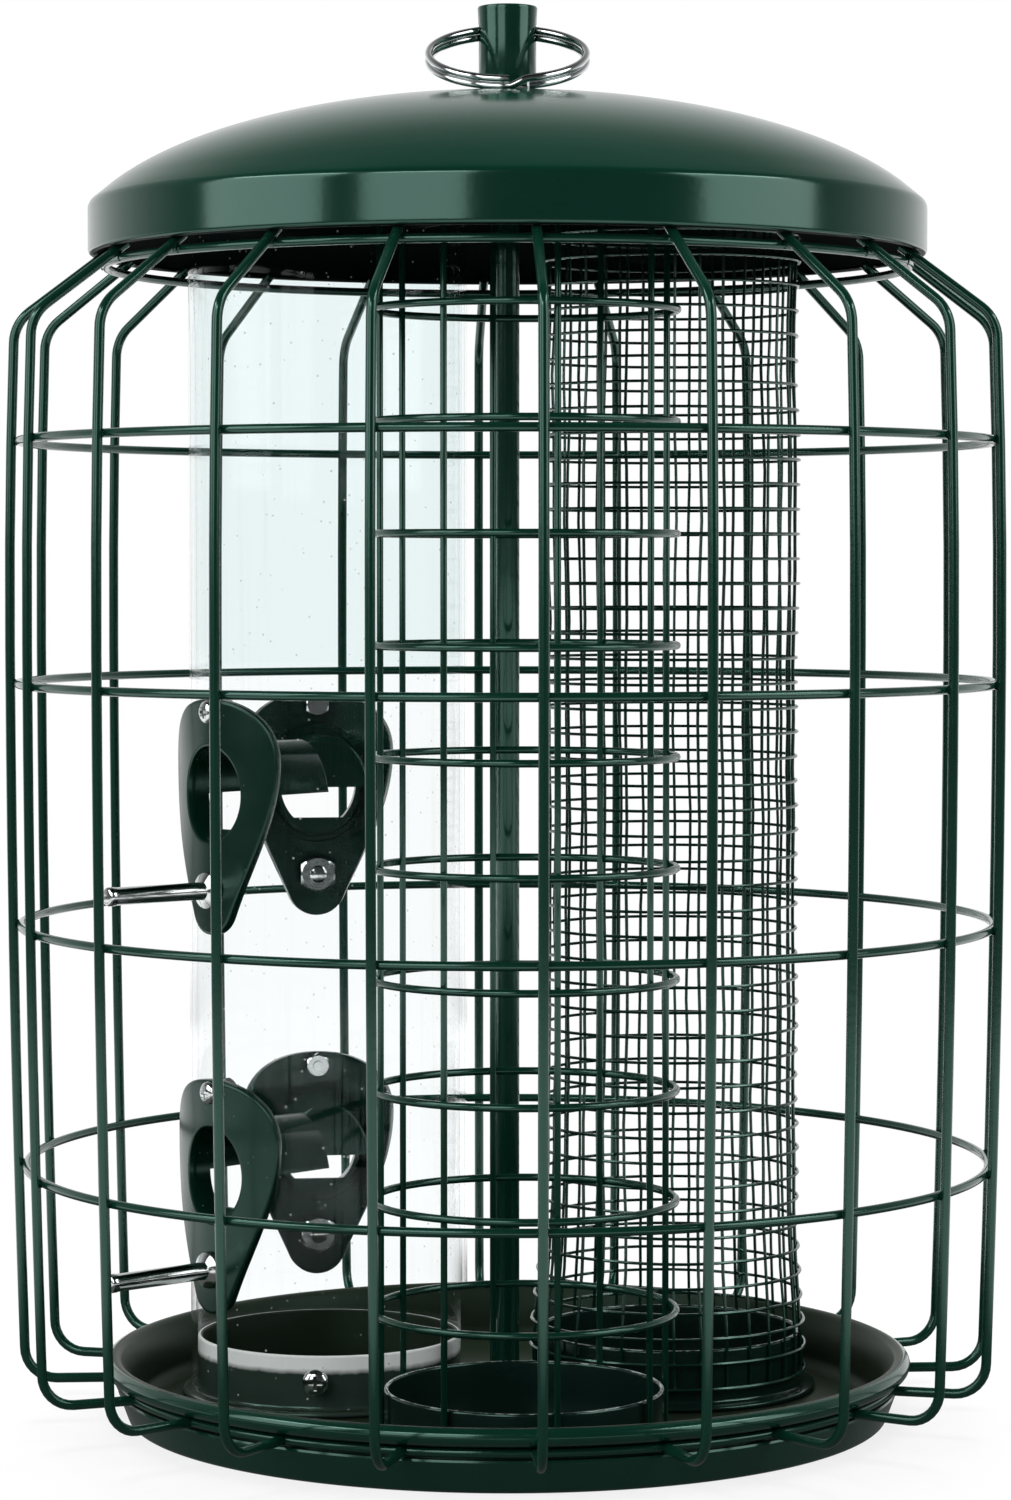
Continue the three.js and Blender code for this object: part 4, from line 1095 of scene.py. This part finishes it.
class FEEDER_OT_seed_ports(Builder, bpy.types.Operator):
    """Models one moulded seed port, a leaf shield with a hooded spigot, and copies it to its four places"""

    bl_idname = "feeder.seed_ports"
    bl_label = "Seed ports"

    def build(self, scene):
        size = scene.feeder_ports
        gap = 0.3 * MM
        inner = TUBE_RADIUS + gap
        outer = inner + 2.8 * MM
        leaf = leaf_outline(size)
        wall = size.spigot_wall
        edge_round = size.edge_round
        rim_round = size.rim_round
        hood_end = inner - size.hood_reach
        lip_end = inner - size.spigot_reach

        def wrapped(points, radius):
            """Points of (across, up) wrapped round the tube."""
            angles = [p.x / inner for p in points]
            return [
                Vector((radius * cos(a), radius * sin(a), p.y)) for a, p in zip(angles, points)
            ]

        def oval(grow):
            shape = (size.hole_half_height, size.hole_half_width)
            return [on_oval(size, grow, atan2(p.y / shape[0], p.x / shape[1])) for p in leaf]

        def shrunk(inset):
            points = []
            for i, p in enumerate(leaf):
                along = leaf[(i + 1) % len(leaf)] - leaf[i - 1]
                points.append(p + Vector((-along.y, along.x)).normalized() * inset)
            return points

        def between(share, grow, inset):
            return [a.lerp(b, share) for a, b in zip(shrunk(inset), oval(grow))]

        def hood(points, end, angle):
            """A rim carried down the spigot: a hood above, rounded down to its nose, and a lip below."""
            depth = end + size.hood_nose * (1 - sin(angle))
            fall = cos(angle)
            return [Vector((lip_end, p.x, p.y) if p.y < 0 else (depth, p.x, p.y * fall)) for p in points]

        rim = oval(0)
        thick_rim = oval(wall)
        nose_steps = 7
        nose = [pi / 2 * i / nose_steps for i in range(nose_steps + 1)]
        # Loops this close to a rounded edge keep the face beside it flat in the light.
        margin = 0.3 * MM
        # A shallow groove behind the shield runs round the spigot.
        groove = inner + 0.6 * MM
        loops = [
            wrapped(shrunk(gap), inner),
            wrapped(leaf, inner + gap),
            wrapped(leaf, outer - edge_round),
            wrapped(shrunk(0.3 * edge_round), outer - 0.3 * edge_round),
            wrapped(shrunk(edge_round), outer),
            wrapped(shrunk(edge_round + margin), outer),
            wrapped(between(0.5, rim_round + margin, edge_round + margin), outer),
            wrapped(oval(rim_round + margin), outer),
            wrapped(oval(rim_round), outer),
            wrapped(oval(0.3 * rim_round), outer - 0.3 * rim_round),
            wrapped(rim, outer - rim_round),
            upright(rim, 0.97 * inner),
            *[hood(rim, hood_end + wall, angle) for angle in nose],
            *[hood(thick_rim, hood_end, angle) for angle in reversed(nose)],
            upright(thick_rim, 0.93 * inner),
            wrapped(oval(1.5 * MM), inner),
            wrapped(oval(2.2 * MM), inner),
            wrapped(oval(2.5 * MM), groove),
            wrapped(oval(3.7 * MM), groove),
            wrapped(oval(4 * MM), inner),
            wrapped(between(0.4, 4 * MM, gap), inner),
        ]
        port = join([lofted(loops), self.dam(size, lip_end)])
        for number, angle, height in port_places():
            finish_on_tube(copy_of(port), f"seed_port_{number}", angle, height, "moulded_abs_green")
        bpy.data.objects.remove(port)

    @staticmethod
    def dam(size, depth):
        """The flat sill that closes the foot of the feed hole."""
        reach = asin(size.dam_depth / size.hole_half_height)
        steps = 16
        points = []
        for i in range(steps + 1):
            angle = -pi + reach + (pi - 2 * reach) * i / steps
            points.append(on_oval(size, 0.5 * size.spigot_wall, angle))
        back = upright(points, depth + 0.05 * MM)
        front = upright(points, depth + size.spigot_wall)
        return lofted([back, front], closed=False)


def pan_head(seat, radius, height, end):
    """A pan head with a cross recess on a plain shank, pointing out along X."""
    profile_shares = ((0.96, 0), (1, 0.25), (0.93, 0.6), (0.7, 0.88), (0.35, 1), (0.05, 1.02))
    shank = 0.45 * radius
    outline = [(shank, end), (shank, seat)]
    outline += [(across * radius, seat + up * height) for across, up in profile_shares]
    head = turned(outline, 32, closed=False)
    slots = []
    for angle in (0, pi / 2):
        slot = block(1.1 * radius, 0.26 * radius, height, (0, 0, seat + 1.1 * height))
        slots.append(turn(slot, angle))
    return turn(cut(head, slots), pi / 2, "Y")


def nut_on_x(low, high, across_flats, bore):
    """A hexagon nut that lies along X."""
    return turn(hexagon_nut(low, high, across_flats, bore), pi / 2, "Y")


class FEEDER_OT_screws(Builder, bpy.types.Operator):
    """Makes the pan-head screws of the ports and of the seed collar"""

    bl_idname = "feeder.screws"
    bl_label = "Screws"

    def build(self, scene):
        seat = TUBE_RADIUS + 3.2 * MM
        nut_seat = TUBE_RADIUS - scene.feeder_sizes.tube_wall - 0.3 * MM
        head = pan_head(seat, 2.9 * MM, 1.6 * MM, nut_seat - 3 * MM)
        screw = join([head, nut_on_x(nut_seat - 2.2 * MM, nut_seat, 5.8 * MM, 1.35 * MM)])
        for number, angle, _ in port_places():
            self.place(copy_of(screw), f"port_screw_{number}", angle)
        bpy.data.objects.remove(screw)
        angle = bearing(middle("collar_screw") - SEED_CENTRE)
        collar_screw = pan_head(TUBE_RADIUS + 0.3 * MM, 3.4 * MM, 2.4 * MM, TUBE_RADIUS - 5.7 * MM)
        self.place(collar_screw, "collar_screw", angle)

    @staticmethod
    def place(piece, node, angle):
        finish_on_tube(piece, node, angle, middle(node).z, "bright_plated_steel")


class FEEDER_OT_perches(Builder, bpy.types.Operator):
    """Turns the chromed perches and the nuts that hold them inside the tube"""

    bl_idname = "feeder.perches"
    bl_label = "Perches"

    def build(self, scene):
        size = scene.feeder_ports
        seat = TUBE_RADIUS + 3.3 * MM
        nut_seat = TUBE_RADIUS - scene.feeder_sizes.tube_wall - 0.6 * MM
        radius = size.perch_radius
        collar = size.perch_collar
        reach = seat + size.perch_reach - 0.2 * MM
        bead = radius + 0.12 * MM
        outline = [
            (0.7 * radius, nut_seat - 4 * MM),
            (radius, nut_seat - 3.6 * MM),
            (radius, seat),
            (collar - 0.3 * MM, seat),
            (collar, seat + 0.3 * MM),
            (collar - 0.2 * MM, seat + 1.1 * MM),
            (radius + 0.9 * MM, seat + 1.8 * MM),
            (radius + 0.1 * MM, seat + 2.1 * MM),
            (radius, seat + 2.6 * MM),
            (radius, reach - 2.4 * MM),
            (bead, reach - 2.2 * MM),
            (bead, reach - 0.6 * MM),
            (radius - 0.2 * MM, reach - 0.15 * MM),
            (radius - 0.7 * MM, reach),
        ]
        perch = turn(turned(outline, 32, closed=False), pi / 2, "Y")
        nut = nut_on_x(nut_seat - 2.6 * MM, nut_seat, size.perch_nut, radius)
        for number, angle, _ in port_places():
            for piece, node, material in (
                (perch, f"perch_{number}", "bright_plated_steel"),
                (nut, f"perch_nut_{number}", "zinc_plated_steel"),
            ):
                finish_on_tube(copy_of(piece), node, angle, middle(node).z, material)
        bpy.data.objects.remove(perch)
        bpy.data.objects.remove(nut)


class FEEDER_OT_basket(Builder, bpy.types.Operator):
    """Welds the fat-ball basket from rings and upright wires"""

    bl_idname = "feeder.basket"
    bl_label = "Fat-ball basket"

    def build(self, scene):
        size = scene.feeder_sizes
        low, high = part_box("fat_ball_basket")
        ring_wire = size.basket_ring_wire
        wire = size.basket_upright_wire
        ring_radius = half_width("fat_ball_basket") * cos(pi / 16) - ring_wire
        upright_circle = ring_radius - ring_wire - wire + 0.35 * MM
        rings = 11
        pitch = size.ring_pitch
        bottom = high.z - ring_wire - (rings - 1) * pitch
        parts = [wire_ring(ring_radius, ring_wire, bottom + i * pitch, 72, 10) for i in range(rings)]
        foot = [(0.7 * wire, low.z), (wire, low.z + 0.3 * MM)]
        head = [(wire, high.z - 0.4 * MM), (0.8 * wire, high.z)]
        strand = shift(turned(foot + head, 10, closed=False), (upright_circle, 0, 0))
        # The first upright stands 8 degrees round from the front of the basket's own frame.
        first = bearing(FAT_BALL_CENTRE) + radians(8 - 90)
        parts += repeated_round(strand, 8, first)
        finish(shift(join(parts), (*FAT_BALL_CENTRE.xy, 0)), "fat_ball_basket", "powder_coat_green")


class FEEDER_OT_peanut_mesh(Builder, bpy.types.Operator):
    """Weaves the peanut mesh from fine wires that flare out over the collar"""

    bl_idname = "feeder.peanut_mesh"
    bl_label = "Peanut mesh"

    def build(self, scene):
        size = scene.feeder_sizes
        low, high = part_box("peanut_mesh")
        wire = size.net_wire
        foot_radius = half_width("peanut_mesh") - 2 * wire
        flare_foot = 16.4 * MM

        def radius_at(height):
            rise = max(size.net_flare_height - height, 0) / (size.net_flare_height - flare_foot)
            return size.net_radius + (foot_radius - size.net_radius) * min(rise, 1) ** 2

        rows = round((high.z - low.z) / size.net_pitch)
        heights = [low.z + wire + i * size.net_pitch for i in range(rows)]
        parts = [wire_ring(radius_at(height) + wire, wire, height, 64, 6) for height in heights]
        sides = 6
        turns = [tau * k / sides for k in range(sides)]
        loops = []
        for height in [low.z, *[h + size.net_pitch / 2 for h in heights[::2]], high.z]:
            centre = radius_at(height) - wire
            loops.append([Vector((centre + wire * cos(a), wire * sin(a), height)) for a in turns])
        columns = round(tau * size.net_radius / size.net_pitch)
        parts += repeated_round(lofted(loops, closed=False), columns)
        net = shift(join(parts), (*PEANUT_CENTRE.xy, 0))
        # Cut and rolled by hand, the mesh is never quite true.
        clouds = bpy.data.textures.new("net_dents", "CLOUDS")
        clouds.noise_scale = 40 * MM
        dents = {"texture": clouds, "strength": 2.4 * MM, "mid_level": 0.5}
        for direction in ("X", "Y"):
            apply_modifier(net, "DISPLACE", direction=direction, **dents)
        finish(net, "peanut_mesh", "powder_coat_mesh")


# Stage


def place_camera(scene):
    """Sets up the camera that was fitted to the photograph."""
    photo_height_px = 1500
    focal_length_px = 4224.3
    sensor = 36
    eye = Vector((-0.5, -1063.3, 214.8)) * MM
    pitch_down = radians(2.52)
    deselect_all()
    bpy.ops.object.camera_add(location=eye, rotation=(pi / 2 - pitch_down, 0, 0))
    camera = bpy.context.object
    camera.name = "photo_camera"
    camera.data.sensor_fit = "VERTICAL"
    camera.data.sensor_height = sensor
    camera.data.lens = focal_length_px * sensor / photo_height_px
    camera.data.clip_start = 10 * MM
    scene.camera = camera
    scene.view_settings.view_transform = "Standard"


def lay_floor():
    floor = added(bpy.ops.mesh.primitive_plane_add, size=14)
    floor.name = "studio_floor"
    floor.data.materials.append(material_named("studio_paper"))


def light_room(scene):
    world = bpy.data.worlds.new("studio")
    scene.world = world
    world.use_nodes = True
    world.node_tree.nodes.clear()
    add = functools.partial(add_node, world.node_tree)
    path = add("LightPath", {}).outputs
    axes = add("SeparateXYZ", {"Vector": add("TexCoord", {}).outputs["Generated"]}).outputs
    # In reflections the white sheet stands low behind the feeder, and the room round it is dark.
    behind = add("MapRange", {"Value": axes["Y"], "From Max": 0.85, "To Min": 0.05})
    fall = {"From Min": 0.12, "From Max": 0.75, "To Min": 1.0, "To Max": 0.28}
    low = add("MapRange", {"Value": axes["Z"], **fall})
    sheet = add("Math", {0: behind, 1: low}, operation="MULTIPLY")
    direct = {0: path["Is Camera Ray"], 1: path["Is Transmission Ray"]}
    seen = add("Math", direct, operation="ADD", use_clamp=True)
    lit = add("Mix", {0: path["Is Glossy Ray"], 2: 0.22, 3: sheet}, data_type="FLOAT")
    strength = add("Mix", {0: seen, 2: lit, 3: 1.0}, data_type="FLOAT")
    sky = add("Background", {"Color": (1.0, 1.0, 1.0, 1.0), "Strength": strength})
    add("OutputWorld", {"Surface": sky})


def area_light(name, place, width, height, radiance):
    aim = Vector((0, 0, 0.2))
    deselect_all()
    bpy.ops.object.light_add(type="AREA", location=place)
    lamp = bpy.context.object
    lamp.name = name
    lamp.rotation_euler = (aim - place).to_track_quat("-Z", "Y").to_euler()
    lamp.data.shape = "RECTANGLE"
    lamp.data.size = width
    lamp.data.size_y = height
    lamp.data.energy = radiance * pi * width * height
    lamp.visible_camera = False
    lamp.visible_transmission = False
    return lamp


def place_softboxes():
    """Two panes to the left and one to the right, which the roof's skirt reflects, and a top light.

    A narrow bright strip over each pane draws the thin lines on bends and hems.
    """
    pane_height, strip_height = 0.66, 1.22
    pane, strip, strip_radiance = 0.85, 0.14, 8
    for name, azimuth, distance, width, radiance in (
        ("left_window", -67, 1.3, 0.92, 2.4),
        ("front_window", -24, 1.45, 0.74, 2.3),
        ("right_window", 69, 1.3, 0.9, 2.4),
    ):
        angle = radians(azimuth)
        place = Vector((distance * sin(angle), -distance * cos(angle), pane_height))
        area_light(name, place, width, pane, radiance)
        place.z = strip_height
        area_light(name + "_strip", place, width, strip, strip_radiance)
    top = area_light("top_window", Vector((0, 0.5, 1.7)), 1.4, 1.0, 7)
    top.visible_glossy = False


class FEEDER_OT_stage(Builder, bpy.types.Operator):
    """Sets the camera, the studio light and the white floor"""

    bl_idname = "feeder.stage"
    bl_label = "Studio"

    def build(self, scene):
        place_camera(scene)
        lay_floor()
        light_room(scene)
        place_softboxes()


class FEEDER_PT_panel(bpy.types.Panel):
    """Lists the feeder's pieces"""

    bl_label = "Caged Bird Feeder"
    bl_space_type = "VIEW_3D"
    bl_region_type = "UI"
    bl_category = "Feeder"

    def draw(self, context):
        for operator in OPERATORS:
            self.layout.operator(operator.bl_idname)
        for name in GROUPS:
            box = self.layout.box()
            settings = getattr(context.scene, name)
            for field in settings.bl_rna.properties.keys():
                if field not in ("rna_type", "name"):
                    box.prop(settings, field)


OPERATORS = (
    FEEDER_OT_stage,
    FEEDER_OT_tray,
    FEEDER_OT_cage_bars,
    FEEDER_OT_cage_hoops,
    FEEDER_OT_roof,
    FEEDER_OT_hanger,
    FEEDER_OT_split_ring,
    FEEDER_OT_post,
    FEEDER_OT_collars,
    FEEDER_OT_seed_tube,
    FEEDER_OT_seed_ports,
    FEEDER_OT_screws,
    FEEDER_OT_perches,
    FEEDER_OT_basket,
    FEEDER_OT_peanut_mesh,
)
GROUPS = {
    "feeder_colours": FinishColours,
    "feeder_cage": CageSizes,
    "feeder_roof": RoofSizes,
    "feeder_tray": TraySizes,
    "feeder_sizes": FeederSizes,
    "feeder_ports": PortSizes,
}


def register():
    for name, group in GROUPS.items():
        bpy.utils.register_class(group)
        setattr(bpy.types.Scene, name, bpy.props.PointerProperty(type=group))
    for operator in OPERATORS:
        bpy.utils.register_class(operator)
    bpy.utils.register_class(FEEDER_PT_panel)


def unregister():
    bpy.utils.unregister_class(FEEDER_PT_panel)
    for operator in reversed(OPERATORS):
        bpy.utils.unregister_class(operator)
    for name, group in GROUPS.items():
        delattr(bpy.types.Scene, name)
        bpy.utils.unregister_class(group)


def main():
    register()
    for operator in OPERATORS:
        group, name = operator.bl_idname.split(".")
        getattr(getattr(bpy.ops, group), name)()
    deselect_all()


if __name__ == "__main__":
    main()
